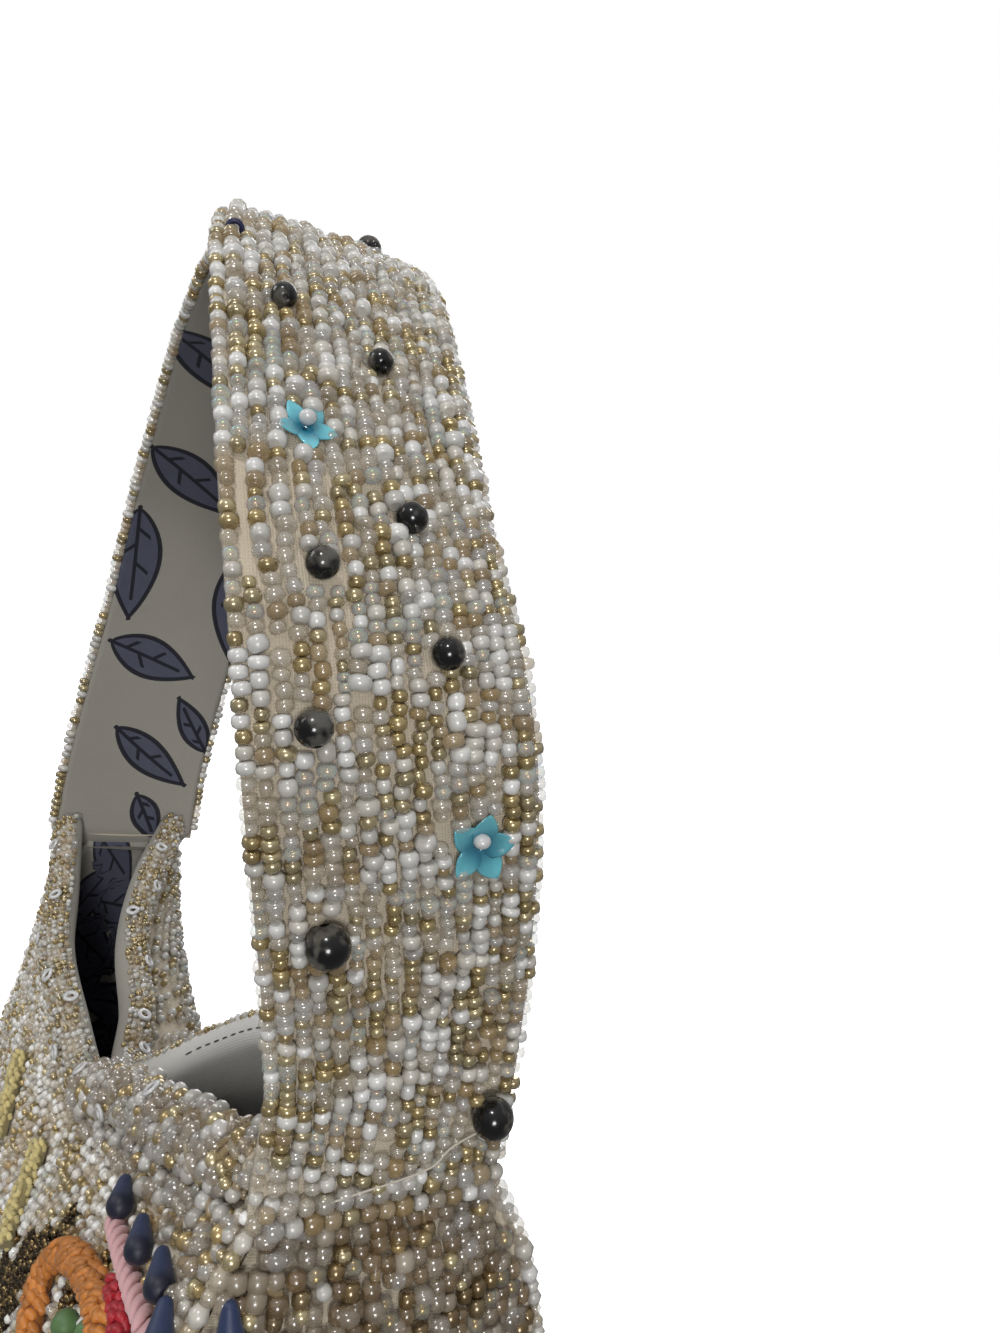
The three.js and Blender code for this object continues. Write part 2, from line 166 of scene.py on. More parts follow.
# Wall depth: a straight line from the far seam to the near one, bulged by a parabola
def wallDepth(rows, across, sign):
    bulge = rows[..., 3 if sign < 0 else 4]
    return sign * (rows[..., 2] + (rows[..., 1] - rows[..., 2]) * (1 + across) / 2 + bulge * (1 - across**2))


# Wall point: seam and bulge glide from foot to rim, and the last row is drawn over to the rim's own line
def wallPoint(across, share, sign):
    across, share = np.broadcast_arrays(np.asarray(across, float), np.asarray(share, float))
    middle, _, _, up = rimFrame(across * roll["corner"], sign)
    top = middle - (roll["halfHigh"] + roll["gap"]) * up
    top = top + np.array([0, sign * roll["wallOffset"], 0])
    rows = glide(sections[:, 0], sections[:, 1:], share)
    lastRow = glide(sections[:, 0], np.eye(len(sections))[-1], share)
    x = across * rows[..., 0] + (top[..., 0] - across * sections[-1, 1]) * lastRow
    y = wallDepth(rows, across, sign) + (top[..., 1] - wallDepth(sections[-1, 1:], across, sign)) * lastRow
    return np.stack([x, y, wall["foot"] + (top[..., 2] - wall["foot"]) * share], -1)


# Normal of a surface from nearby points, both parameters kept in their range
def normalOf(surface, u, v):
    e = 1e-3
    alongU = surface(np.minimum(u + e, 1), v) - surface(np.maximum(u - e, -1), v)
    alongV = surface(u, np.minimum(v + e, 1)) - surface(u, np.maximum(v - e, 0))
    return unit(np.cross(alongU, alongV))


def frontWall(u, v):
    return wallPoint(u, v, -1)


def backWall(u, v):
    return wallPoint(-np.asarray(u, float), v, 1)


# Side point: from seam to seam inside the front and back walls, bulged by a parabola
def sideReach(share, end, sign):
    surface = frontWall if sign < 0 else backWall
    place = np.full_like(share, end if sign < 0 else -end)
    normal = normalOf(surface, place, share)
    slant = np.maximum(0, end * sign * normal[..., 0])
    inset = (wall["thick"] + seamGap + slant * wall["thick"]) / np.abs(normal[..., 1])
    return np.abs(surface(place, share)[..., 1]) - inset


def sidePoint(across, share, end):
    across, share = np.broadcast_arrays(np.asarray(across, float), np.asarray(share, float))
    rows = glide(sections[:, 0], sections[:, 1:], share)
    reach = np.where(across < 0, sideReach(share, end, -1), sideReach(share, end, 1))
    x = end * (rows[..., 0] + rows[..., 5] * (1 - across**2))
    z = wall["foot"] + (wall["sideTop"] - wall["foot"]) * share
    return np.stack([x, across * reach, z], -1)


def nearWall(u, v):
    return sidePoint(u, v, 1)


def farWall(u, v):
    return sidePoint(-np.asarray(u, float), v, -1)


# Mesh from points in millimetres and one index array for each kind of polygon
def addMesh(name, points, faces, smoothed=None):
    mesh = bpy.data.meshes.new(name)
    points = np.asarray(points, np.float32).reshape(-1, 3) * mm
    counts = np.concatenate([np.full(len(f), f.shape[1]) for f in faces])
    corners = np.concatenate([f.ravel() for f in faces]).astype(np.int32)
    shades = np.concatenate([np.full(len(f), s) for f, s in zip(faces, smoothed or [True] * len(faces))])
    mesh.vertices.add(len(points))
    mesh.vertices.foreach_set("co", points.ravel())
    mesh.loops.add(len(corners))
    mesh.loops.foreach_set("vertex_index", corners)
    mesh.polygons.add(len(counts))
    mesh.polygons.foreach_set("loop_start", np.concatenate([[0], np.cumsum(counts)[:-1]]).astype(np.int32))
    mesh.polygons.foreach_set("use_smooth", shades)
    mesh.update(calc_edges=True)
    piece = bpy.data.objects.new(name, mesh)
    bpy.context.scene.collection.objects.link(piece)
    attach(piece, "root")
    return piece


def gridFaces(rows, columns, ring=False):
    j, i = np.meshgrid(np.arange(rows - 1), np.arange(columns if ring else columns - 1), indexing="ij")
    k = (i + 1) % columns
    quads = [j * columns + i, j * columns + k, (j + 1) * columns + k, (j + 1) * columns + i]
    return np.stack(quads, -1).reshape(-1, 4)


# One value or colour for each point
def addField(piece, name, values):
    colour = np.ndim(values) == 2
    layer = piece.data.attributes.new(name, "FLOAT_COLOR" if colour else "FLOAT", "POINT")
    if colour:
        values = np.concatenate([values, np.ones((len(values), 1))], 1)
    layer.data.foreach_set("color" if colour else "value", np.asarray(values, np.float32).ravel())


# Flat map in millimetres, for each corner of the faces
def addFlat(piece, flat):
    corners = np.empty(len(piece.data.loops), np.int32)
    piece.data.loops.foreach_get("vertex_index", corners)
    layer = piece.data.uv_layers.new(name="flat")
    layer.data.foreach_set("uv", np.asarray(flat, np.float32).reshape(-1, 2)[corners].ravel())


def thicken(piece, thickness):
    wrap = piece.modifiers.new("thickness", "SOLIDIFY")
    wrap.thickness = thickness * mm
    wrap.offset = -1


# Closed solids from rings: copies x rings x sides, the first and last ring filled
def ringSolids(name, rings, tints=None):
    copies, stations, sides = rings.shape[:3]
    band = gridFaces(stations, sides, ring=True)
    shift = (np.arange(copies) * stations * sides)[:, None, None]
    bands = (band[None] + shift).reshape(-1, 4)
    ends = np.stack([np.arange(sides)[::-1], (stations - 1) * sides + np.arange(sides)])
    caps = (ends[None] + shift).reshape(-1, sides)
    piece = addMesh(name, rings, [bands, caps], [True, False])
    if tints is not None:
        tints = np.broadcast_to(tints[:, None] if tints.ndim == 2 else tints, (copies, stations, 3))
        addField(piece, "tint", np.repeat(tints.reshape(-1, 3), sides, axis=0))
    return piece


# Directions square to an axis
def squareTo(axis, hint):
    first = unit(hint - (hint * axis).sum(-1, keepdims=True) * axis)
    return first, np.cross(axis, first)


# Beads: a profile of place along the hole and radius, turned round each bead's own axis
seedProfile = np.array([[-0.5, 0.58], [-0.33, 0.91], [0.0, 1.0], [0.33, 0.91], [0.5, 0.58]])
tinyProfile = np.array([[-0.5, 0.6], [0.0, 1.0], [0.5, 0.6]])
roundTurns = np.linspace(-0.44, 0.44, 9) * np.pi
roundProfile = np.stack([np.sin(roundTurns) / 2, np.cos(roundTurns)], 1)


def addBeads(name, centres, axes, hints, radii, lengths, tints, profile, sides):
    first, second = squareTo(axes, hints)
    turn = 2 * np.pi * np.arange(sides) / sides
    round2 = np.cos(turn)[:, None] * first[:, None] + np.sin(turn)[:, None] * second[:, None]
    along = profile[:, 0][None, :, None] * lengths[:, None, None] * axes[:, None]
    rings = centres[:, None, None] + along[:, :, None] + (
        profile[:, 1][None, :, None, None] * radii[:, None, None, None] * round2[:, None])
    return ringSolids(name, rings, tints)


# Tubes: one path for each copy, carried with a ring square to it
def addTubes(name, paths, hints, radius, sides, tints=None):
    tangent = unit(np.gradient(paths, axis=1))
    first, second = squareTo(tangent, np.broadcast_to(hints, tangent.shape))
    turn = 2 * np.pi * np.arange(sides) / sides
    rings = paths[:, :, None] + radius * (
        np.cos(turn)[:, None] * first[:, :, None] + np.sin(turn)[:, None] * second[:, :, None])
    return ringSolids(name, rings, tints)


# Hoops: a small tube closed on itself round each centre, flattened along the hoop's axis
def addHoops(name, centres, axes, hints, hoop, steps, sides, tints):
    first, second = squareTo(axes, hints)
    turn = 2 * np.pi * np.arange(steps) / steps
    wind = 2 * np.pi * np.arange(sides) / sides
    spoke = np.cos(turn)[:, None] * first[:, None] + np.sin(turn)[:, None] * second[:, None]
    reach = hoop["radius"] + hoop["tube"] * np.cos(wind)
    lift = hoop["tube"] * hoop["flat"] * np.sin(wind)
    points = (centres[:, None, None] + reach[:, None, None] * spoke[:, None]
              + lift[:, None, None] * axes[:, None, None])
    loop = gridFaces(sides + 1, steps, ring=True) % (sides * steps)
    shift = (np.arange(len(centres)) * sides * steps)[:, None, None]
    piece = addMesh(name, points, [(loop[None] + shift).reshape(-1, 4)])
    addField(piece, "tint", np.repeat(tints, sides * steps, axis=0))
    return piece


# Sockets as values: an expression on them adds its Math nodes
class Wire:
    def __init__(self, paint, socket):
        self.paint = paint
        self.socket = socket

    def __add__(self, other):
        return self.paint.sums("ADD", self, other)

    def __sub__(self, other):
        return self.paint.sums("SUBTRACT", self, other)

    def __rsub__(self, other):
        return self.paint.sums("SUBTRACT", other, self)

    def __mul__(self, other):
        return self.paint.sums("MULTIPLY", self, other)

    def __truediv__(self, other):
        return self.paint.sums("DIVIDE", self, other)

    def __gt__(self, other):
        return self.paint.sums("GREATER_THAN", self, other)

    def __lt__(self, other):
        return self.paint.sums("LESS_THAN", self, other)

    def __abs__(self):
        return self.paint.sums("ABSOLUTE", self)

    __radd__ = __add__
    __rmul__ = __mul__


# Nodes of a material or of the world: the shader, and short ways to add nodes to it
class Paint:
    def __init__(self, owner, kind="Principled BSDF", **shader):
        owner.use_nodes = True
        self.owner = owner
        self.tree = owner.node_tree
        self.shader = self.tree.nodes[kind]
        self.set(**shader)

    def set(self, **sockets):
        for name, value in sockets.items():
            self.put(self.shader.inputs[name.replace("_", " ")], value)

    def put(self, socket, value):
        if isinstance(value, Wire):
            self.tree.links.new(value.socket, socket)
        else:
            socket.default_value = value

    def node(self, kind, settings, sockets, out=0):
        made = self.tree.nodes.new(kind)
        for name, value in settings.items():
            setattr(made, name, value)
        for name, value in sockets.items():
            self.put(made.inputs[name], value)
        return Wire(self, made.outputs[out])

    def sums(self, operation, *values):
        return self.node("ShaderNodeMath", dict(operation=operation), dict(enumerate(values)))

    def field(self, name, out="Fac"):
        return self.node("ShaderNodeAttribute", dict(attribute_name=name), {}, out)

    def place(self):
        return self.node("ShaderNodeTexCoord", {}, {}, "Object")

    def flat(self):
        both = self.node("ShaderNodeUVMap", dict(uv_map="flat"), {})
        split = self.node("ShaderNodeSeparateXYZ", {}, {"Vector": both})
        return split, Wire(self, split.socket.node.outputs[1])

    def mix(self, factor, first, second):
        sockets = {0: factor, 6: first, 7: second}
        return self.node("ShaderNodeMix", dict(data_type="RGBA"), sockets, 2)

    def noise(self, scale, detail=3.0):
        return self.node("ShaderNodeTexNoise", {}, {"Vector": self.place(), "Scale": scale, "Detail": detail})

    def step(self, value, low, high):
        sockets = {"Value": value, "From Min": low, "From Max": high}
        return self.node("ShaderNodeMapRange", dict(interpolation_type="SMOOTHSTEP"), sockets)

    def bump(self, height, distance, strength=1.0):
        sockets = {"Height": height, "Distance": distance, "Strength": strength}
        self.set(Normal=self.node("ShaderNodeBump", {}, sockets))


# Plain weave: threads over and under in both directions, from two sines of the flat map
def weave(paint, pitch):
    u, v = paint.flat()
    over = paint.sums("SINE", u * (math.pi / pitch)) * paint.sums("SINE", v * (math.pi / pitch))
    return abs(over)


def rgb(*values):
    return (*values, 1.0)


# Cloths
def plainCloth(name, colour, dark, pitch, depth):
    paint = Paint(bpy.data.materials.new(name), Roughness=0.9, Sheen_Weight=0.15)
    threads = weave(paint, pitch)
    clouds = paint.noise(70.0)
    colours = paint.mix(clouds, rgb(*colour), rgb(*dark))
    paint.set(Base_Color=paint.mix(threads * 0.15, colours, rgb(*dark)))
    paint.bump(threads + clouds * 0.6, depth * mm)
    return paint.owner


# Leaf outline: the half width is a sine of the length, drawn towards the stem and rounded by two powers
leafShape = dict(drawn=0.85, rounded=0.9, around=1.4)


# Printed cotton: each point knows its place in the nearest leaf, along and aside in millimetres
def printedCotton(name):
    look = dict(ground=(0.34, 0.32, 0.28), pale=(0.86, 0.85, 0.82), leaf=(0.062, 0.066, 0.098),
                ink=(0.005, 0.006, 0.014), line=0.72, vein=0.55, blur=0.1, weave=0.55, depth=0.05)
    ribs = dict(sides=[(1, 0.18), (-1, 0.33), (1, 0.5)], run=0.77, rise=0.64, reach=0.62, end=0.84)
    paint = Paint(bpy.data.materials.new(name), Roughness=0.88, Sheen_Weight=0.1)

    def stroke(away, half):
        return 1 - paint.step(away, half - look["blur"], half + look["blur"])

    along, aside = paint.field("leafAlong"), paint.field("leafAside")
    length, width = paint.field("leafLength"), paint.field("leafWidth")
    swell = paint.sums("MAXIMUM", paint.sums("MINIMUM", along / length, 1.0), 0.0)
    swell = paint.sums("SINE", paint.sums("POWER", swell, leafShape["drawn"]) * math.pi)
    half = width * paint.sums("POWER", swell, leafShape["rounded"]) / 2
    edge = abs(aside) - half
    within = paint.field("leafFar") < leafShape["around"]
    inside = stroke(edge, 0.0) * within
    outline = stroke(abs(edge), look["line"]) * within
    ink = stroke(abs(aside), look["vein"]) * (along < length * ribs["end"])
    for side, start in ribs["sides"]:
        off = aside * (side * ribs["rise"]) - (along - length * start) * ribs["run"]
        line = stroke(abs(off), look["vein"]) * (aside * side > 0) * (abs(aside) < half * ribs["reach"])
        ink = paint.sums("MAXIMUM", ink, line)
    ink = paint.sums("MAXIMUM", outline, ink * inside)
    worn = paint.noise(260.0)
    threads = weave(paint, look["weave"])
    # Painted light and shade: the ground runs from the darker cotton colour to the pale one by each point's
    # pale share, lit and shaded copies of one cotton
    ground = paint.mix(paint.field("pale"), rgb(*look["ground"]), rgb(*look["pale"]))
    ground = paint.mix(paint.noise(35.0) * 0.4, ground, rgb(*[c * 0.7 for c in look["ground"]]))
    ground = paint.mix(threads * 0.08, ground, rgb(*[c * 0.6 for c in look["ground"]]))
    fill = paint.mix(worn, rgb(*look["leaf"]), rgb(*[c * 1.35 for c in look["leaf"]]))
    paint.set(Base_Color=paint.mix(ink * 0.97, paint.mix(inside, ground, fill), rgb(*look["ink"])))
    paint.bump(threads + worn * 0.5, look["depth"] * mm)
    return paint.owner


# Beads take their colour from the mesh, clouded by noise in the glass
def beadGlass(name, cloud=0.24, grain=900.0, **shader):
    paint = Paint(bpy.data.materials.new(name), **shader)
    tint = paint.field("tint", "Color")
    streak = paint.noise(grain, 2.0)
    sockets = {"Color": tint, "Value": 1 - cloud / 2 + streak * cloud}
    paint.set(Base_Color=paint.node("ShaderNodeHueSaturation", {}, sockets))
    paint.set(Roughness=shader["Roughness"] * 0.7 + streak * shader["Roughness"] * 0.6)
    return paint.owner


# Dark polished beads: black glass with brown and neutral patches painted into its colour, a painted
# reflection of the beads around it
def paintedReflectionGlass(name, **shader):
    paint = Paint(bpy.data.materials.new(name), **shader)
    spots = paint.step(paint.noise(330.0, 2.0), 0.46, 0.62)
    grey = paint.mix(paint.noise(150.0), rgb(0.1, 0.085, 0.06), rgb(0.075, 0.08, 0.085))
    paint.set(Base_Color=paint.mix(spots, rgb(0.004, 0.004, 0.004), grey))
    return paint.owner


looks = dict(
    beadedCloth=plainCloth("beaded cloth", (0.7, 0.62, 0.49), (0.52, 0.44, 0.33), 0.45, 0.1),
    baseCloth=plainCloth("base cloth", (0.55, 0.49, 0.4), (0.4, 0.35, 0.28), 0.8, 0.25),
    cotton=printedCotton("printed cotton"),
    pearl=beadGlass("white lustre glass", Roughness=0.35, IOR=1.8, Coat_Weight=0.5, Coat_Roughness=0.1),
    crystal=beadGlass("clear lustre glass", Roughness=0.2, IOR=2.9, Alpha=0.42,
                      Coat_Weight=1.0, Coat_Roughness=0.05),
    rainbow=beadGlass("rainbow lustre glass", Roughness=0.24, IOR=2.6, Alpha=0.42, Thin_Film_Thickness=445.0,
                      Coat_Weight=0.8, Coat_Roughness=0.08),
    gold=beadGlass("gold lined glass", Roughness=0.28, IOR=2.0, Metallic=0.6, Alpha=0.88,
                   Coat_Weight=0.8, Coat_Roughness=0.1),
    amber=beadGlass("amber glass", Roughness=0.24, IOR=2.2, Alpha=0.55, Coat_Weight=0.8, Coat_Roughness=0.08),
    bronze=beadGlass("bronze lined glass", Roughness=0.3, Metallic=0.9, Coat_Weight=0.3, Coat_Roughness=0.1),
    hematite=paintedReflectionGlass("dark polished glass", Roughness=0.2, Specular_IOR_Level=0.4,
                          Coat_Weight=0.35, Coat_Roughness=0.05),
    petal=beadGlass("turquoise petal", cloud=0.5, grain=420.0, Roughness=0.14, Alpha=0.78, IOR=1.8,
                    Coat_Weight=0.8),
    matte=beadGlass("matt glass", Roughness=0.5, Sheen_Weight=0.1),
    silk=beadGlass("knotted floss", Roughness=0.42, Sheen_Weight=0.1),
    yarn=beadGlass("chenille yarn", Roughness=0.9, Sheen_Weight=0.35),
    thread=beadGlass("sewing thread", Roughness=0.7, Sheen_Weight=0.1),
)


def dress(piece, look, slot, *nodes):
    piece.data.materials.append(looks[look])
    if nodes:
        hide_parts(*nodes)
    return piece


print("materials made")


# Wall cloth: the outer face as a grid, thickened inwards, with its flat size in metres
clothGrids = dict(
    front_cloth=dict(surface=frontWall, node="front_panel", columns=61, rows=36, flat=(0.215, 0.165)),
    back_cloth=dict(surface=backWall, node="back_panel", columns=61, rows=36, flat=(0.215, 0.165)),
    near_side_cloth=dict(surface=nearWall, node="near_side_panel", columns=17, rows=36, flat=(0.084, 0.165)),
    far_side_cloth=dict(surface=farWall, node="far_side_panel", columns=17, rows=36, flat=(0.07, 0.165)),
)


def wallCloth(name, surface, node, columns, rows, flat):
    u, v = np.meshgrid(np.linspace(-1, 1, columns), np.linspace(0, 1, rows))
    piece = addMesh(name, surface(u, v), [gridFaces(rows, columns)])
    addFlat(piece, np.stack([u * flat[0] * 500, v * flat[1] * 1000], -1))
    thicken(piece, wall["thick"])
    dress(piece, "beadedCloth", "beaded_cloth", node)


for name, grid in clothGrids.items():
    wallCloth(name, **grid)

# Ring round the inside of the walls at one share of their height, a given depth behind their face
wallPlaces = np.linspace(-0.917, 0.917, 45)
sidePlaces = np.linspace(-0.667, 0.667, 11)
ringWalls = [(frontWall, wallPlaces), (nearWall, sidePlaces), (backWall, wallPlaces), (farWall, sidePlaces)]


def insideRing(share, depth):
    stretches = []
    for surface, u in ringWalls:
        v = np.full_like(u, share)
        stretches.append(surface(u, v) - depth * normalOf(surface, u, v))
    return np.concatenate(stretches)


# Base: its outline drawn in to the middle below and above, with a rounded edge
base = dict(inset=2.5, thick=2.5, edge=0.6, flat=(0.16, 0.06))
baseRing = insideRing(0.0, base["inset"])
baseSteps = [(0.02, 0.0), (0.5, 0.0), (0.97, 0.0), (1.0, base["edge"]), (1.0, base["thick"] - base["edge"]),
             (0.97, base["thick"]), (0.5, base["thick"]), (0.02, base["thick"])]
baseRings = np.stack([baseRing * [f, f, 0] + [0, 0, z] for f, z in baseSteps])
baseCloth = ringSolids("base_cloth", baseRings[None])
addFlat(baseCloth, baseRings[..., :2])
dress(baseCloth, "baseCloth", "base_cloth", "base_panel")
print("walls and base made")


# Leaf print: for each point the leaf that is nearest, and the point's place along and aside of its rib
def addPrint(piece, flat, leaves):
    addFlat(piece, flat)
    leaves = np.asarray(leaves, float)
    axis = leaves[:, 2:4] - leaves[:, :2]
    length = np.linalg.norm(axis, axis=1)
    axis = axis / length[:, None]
    away = np.asarray(flat).reshape(-1, 1, 2) - leaves[:, :2]
    along = (away * axis).sum(-1)
    aside = away[..., 1] * axis[:, 0] - away[..., 0] * axis[:, 1]
    swell = np.sin(np.pi * np.clip(along / length, 0, 1) ** leafShape["drawn"]) ** leafShape["rounded"]
    beyond = np.maximum(np.maximum(-along, along - length), 0)
    outside = np.maximum(np.abs(aside) - leaves[:, 4] / 2 * swell, 0)
    far = np.hypot(beyond, outside) - 0.01 * swell * leaves[:, 4]
    near = far.argmin(1)
    point = np.arange(len(near))
    addField(piece, "leafFar", far[point, near])
    addField(piece, "leafAlong", along[point, near])
    addField(piece, "leafAside", aside[point, near])
    addField(piece, "leafLength", length[near])
    addField(piece, "leafWidth", leaves[near, 4])


# Bag lining: rings from the floor's middle to the rim, the printed face inwards
lining = dict(depth=3.3, floor=3.8, inset=3.8, thick=1.0, flat=(0.49, 0.2),
              floorShares=[0.03, 0.35, 0.7, 1.0], floorRun=[-40, -26, -12, 0], girthRing=24)
liningShares = np.concatenate([[0.05], np.linspace(0.1, 0.985, 40)])
floorRing = insideRing(0.0, lining["inset"])
liningRings = [floorRing * [f, f, 0] + [0, 0, lining["floor"]] for f in lining["floorShares"]]
liningRings = np.stack(liningRings + [insideRing(s, lining["depth"]) for s in liningShares])
around = runOf(liningRings[lining["girthRing"]])
rise = np.concatenate([lining["floorRun"], wall["sideTop"] * liningShares])
liningFlat = np.stack(np.meshgrid(around, rise), -1)

# Scattered leaves: a jittered lattice, each leaf turned at random, as start, end and width
scatter = dict(pitch=22.0, row=0.86, length=29.0, width=15.0, jitterU=4, jitterV=3)


def scatterLeaves(low, high, width):
    pitch = scatter["pitch"]
    u, v = np.meshgrid(np.arange(0, width, pitch), np.arange(low, high, pitch * scatter["row"]))
    u = (u + (np.arange(len(u)) % 2 * pitch / 2)[:, None]).ravel()
    u = u + draw.uniform(-scatter["jitterU"], scatter["jitterU"], u.size)
    v = v.ravel() + draw.uniform(-scatter["jitterV"], scatter["jitterV"], u.size)
    turn = draw.uniform(0, 2 * np.pi, u.size)
    middle = np.stack([u, v], -1)
    half = np.stack([np.cos(turn), np.sin(turn)], -1) * scatter["length"] / 2
    return np.concatenate([middle - half, middle + half, np.full((u.size, 1), scatter["width"])], 1)


# Painted light and shade: the cotton is paler towards the near end and darker towards the far end, as a share
# for each point
def paintedLightShare(points):
    return smooth(-10, 25, points[..., 0]).ravel()


liningCount = liningRings.shape[1]
liningFaces = gridFaces(len(liningRings), liningCount, ring=True)[:, ::-1]
bagLining = addMesh("bag_lining_print", liningRings, [liningFaces, np.arange(liningCount)[None]])
addPrint(bagLining, liningFlat, scatterLeaves(lining["floorRun"][0], wall["sideTop"], around[-1]))
# Painted light on the lining's near end and painted shade on its far end, by the pale share
addField(bagLining, "pale", 0.8 * paintedLightShare(liningRings))
thicken(bagLining, lining["thick"])
dress(bagLining, "cotton", "printed_cotton", "bag_lining")

# Leaves on the strap's inner face: along and across of the stem and of the tip, and the width
strapLeaves = np.array([
    [8, 16, 27, -9, 12], [38, -20, 54, 7, 12], [70, 20, 88, -6, 13], [101, -21, 118, 6, 13],
    [138, 18, 158, -8, 12], [170, -17, 189, 8, 13], [205, -20, 224, 4, 12], [246, 20, 226, 0, 11],
    [274, -25, 296, 5, 13], [317, -20.5, 335.5, 8.5, 13], [339, -19.5, 376, -15, 15],
    [385, -18, 391, 10, 12.5], [352, 13, 383, 21, 12], [412, -9, 428, 16, 10], [415, 21, 399, 8, 8],
    [433, 2, 447, 10, 8],
])


# Strap sheet: a grid along and across at one height, each end run down by a tail that is drawn in
def strapSheet(name, width, height, columns, rows, tail, drawn, flip):
    places = np.linspace(-width / 2, width / 2, columns)
    along, across = np.meshgrid(np.linspace(0, 1, rows), places, indexing="ij")
    points = strapPoint(along, across, height + 0 * across)
    arc = runOf(points[:, columns // 2])
    drop = np.array([0, 0, -tail])
    narrow = np.array([1, drawn, 1])
    points = np.concatenate([points[:1] * narrow + drop, points, points[-1:] * narrow + drop])
    arc = np.concatenate([[-tail], arc, [arc[-1] + tail]])
    faces = gridFaces(rows + 2, columns)
    piece = addMesh(name, points, [faces[:, ::-1] if flip else faces])
    return piece, np.stack(np.meshgrid(arc, places, indexing="ij"), -1)


# Strap cloth, and the printed cotton on its inner face
strapCloth, strapFlat = strapSheet("strap_cloth", strap["clothWidth"], -strap["clothDepth"],
                                   columns=13, rows=161, tail=2.0, drawn=1.0, flip=False)
addFlat(strapCloth, strapFlat)
thicken(strapCloth, strap["clothThick"])
dress(strapCloth, "beadedCloth", "beaded_cloth", "strap_band")
liningLevel = -strap["clothDepth"] - strap["clothThick"] - seamGap - strap["liningThick"]
strapPrint, printFlat = strapSheet("strap_print", strap["liningWidth"], liningLevel,
                                   columns=31, rows=301, tail=7.0, drawn=0.72, flip=True)
# The strap print has no pale share, so its ground keeps the darker colour, a painted shade
addPrint(strapPrint, printFlat, strapLeaves)
thicken(strapPrint, strap["liningThick"])
dress(strapPrint, "cotton", "printed_cotton", "strap_lining")
print("strap cloth and linings made")

# Rim rolls: an ellipse carried along the rim, with soft puckers, and a flat map in millimetres
rollMesh = dict(stations=181, sides=20, pucker=0.03, pace=0.9, girth=25, length=200)


def rollRings(sign):
    x = np.linspace(roll["end"], -roll["end"], rollMesh["stations"])
    middle, _, side, up = rimFrame(x, sign)
    turn = 2 * np.pi * np.arange(rollMesh["sides"]) / rollMesh["sides"]
    pucker = 1 + rollMesh["pucker"] * np.sin(x[:, None] * rollMesh["pace"] + 3 * np.sin(turn)[None])
    wideAt = roll["halfThick"] * np.cos(turn) * pucker
    highAt = roll["halfHigh"] * np.sin(turn) * pucker
    return middle[:, None] + wideAt[..., None] * side[:, None] + highAt[..., None] * up[:, None]


for name, sign, node in [("front_roll", -1, "front_rim_roll"), ("back_roll", 1, "back_rim_roll")]:
    piece = ringSolids(name, rollRings(sign)[None])
    girth = np.arange(rollMesh["sides"]) / rollMesh["sides"] * rollMesh["girth"]
    length = np.linspace(0, rollMesh["length"], rollMesh["stations"])
    addFlat(piece, np.stack(np.meshgrid(girth, length), -1))
    dress(piece, "beadedCloth", "beaded_cloth", node)
print("rim rolls made")

# Facings: a strip of the cotton over each roll's inner half and down the lining, its one leaf off the strip
facing = dict(leaf=[-90, -90, -60, -90, 10], rise=0.35, thick=0.25, stations=121, steps=9, depth=4.2,
              tail=np.array([0.985, 0.95, 0.9, 0.84, 0.78, 0.72]))
facings = dict(
    front=dict(sign=-1, turns=(0.56, 1.25), surface=frontWall, across=1 / roll["corner"]),
    back=dict(sign=1, turns=(-0.25, 0.44), surface=backWall, across=-1 / roll["corner"]),
)
for name, row in facings.items():
    x = np.linspace(roll["end"], -roll["end"], facing["stations"])
    turn = np.pi * np.linspace(*row["turns"], facing["steps"])
    middle, _, side, up = rimFrame(x, row["sign"])
    wideAt = (roll["halfThick"] + facing["rise"]) * np.cos(turn)
    highAt = (roll["halfHigh"] + facing["rise"]) * np.sin(turn)
    over = middle[:, None] + wideAt[:, None] * side[:, None] + highAt[:, None] * up[:, None]
    u, v = np.meshgrid(x * row["across"], facing["tail"], indexing="ij")
    below = row["surface"](u, v) - facing["depth"] * normalOf(row["surface"], u, v)
    points = np.concatenate([over, below] if row["sign"] < 0 else [below[:, ::-1], over], 1)
    piece = addMesh(f"{name}_facing", points, [gridFaces(*points.shape[:2])])
    strip = np.linalg.norm(np.diff(points, axis=0), axis=-1).mean(1)
    strip = np.concatenate([[0], np.cumsum(strip)])
    girth = np.linalg.norm(np.diff(points, axis=1), axis=-1).mean(0)
    girth = np.concatenate([[0], np.cumsum(girth)])
    addPrint(piece, np.stack(np.meshgrid(strip, girth, indexing="ij"), -1), [facing["leaf"]])
    # Painted light on the facing's near end and painted shade on its far end, by the pale share
    addField(piece, "pale", paintedLightShare(points))
    thicken(piece, facing["thick"])
    dress(piece, "cotton", "printed_cotton")

# Facing stitches: a row of short threads on the inner face of the back roll
stitch = dict(start=20.0, end=94.0, pitch=2.9, length=1.7, radius=0.16, sides=5, turn=0.32,
              lift=np.array([-0.1, 0.08, 0.08, -0.1]), tint=(0.06, 0.055, 0.05))
x = np.arange(stitch["start"], stitch["end"], stitch["pitch"])
x = x[:, None] + np.linspace(0, stitch["length"], len(stitch["lift"]))
middle, _, side, up = rimFrame(x, 1)
grow = facing["rise"] + stitch["lift"][:, None]
paths = middle + (roll["halfThick"] + grow) * math.cos(stitch["turn"]) * side
paths = paths + (roll["halfHigh"] + grow) * math.sin(stitch["turn"]) * up
tints = np.tile(stitch["tint"], (len(x), 1))
piece = addTubes("facing_stitches", paths, up, stitch["radius"], stitch["sides"], tints)
dress(piece, "thread", "printed_cotton")
print("facings sewn")


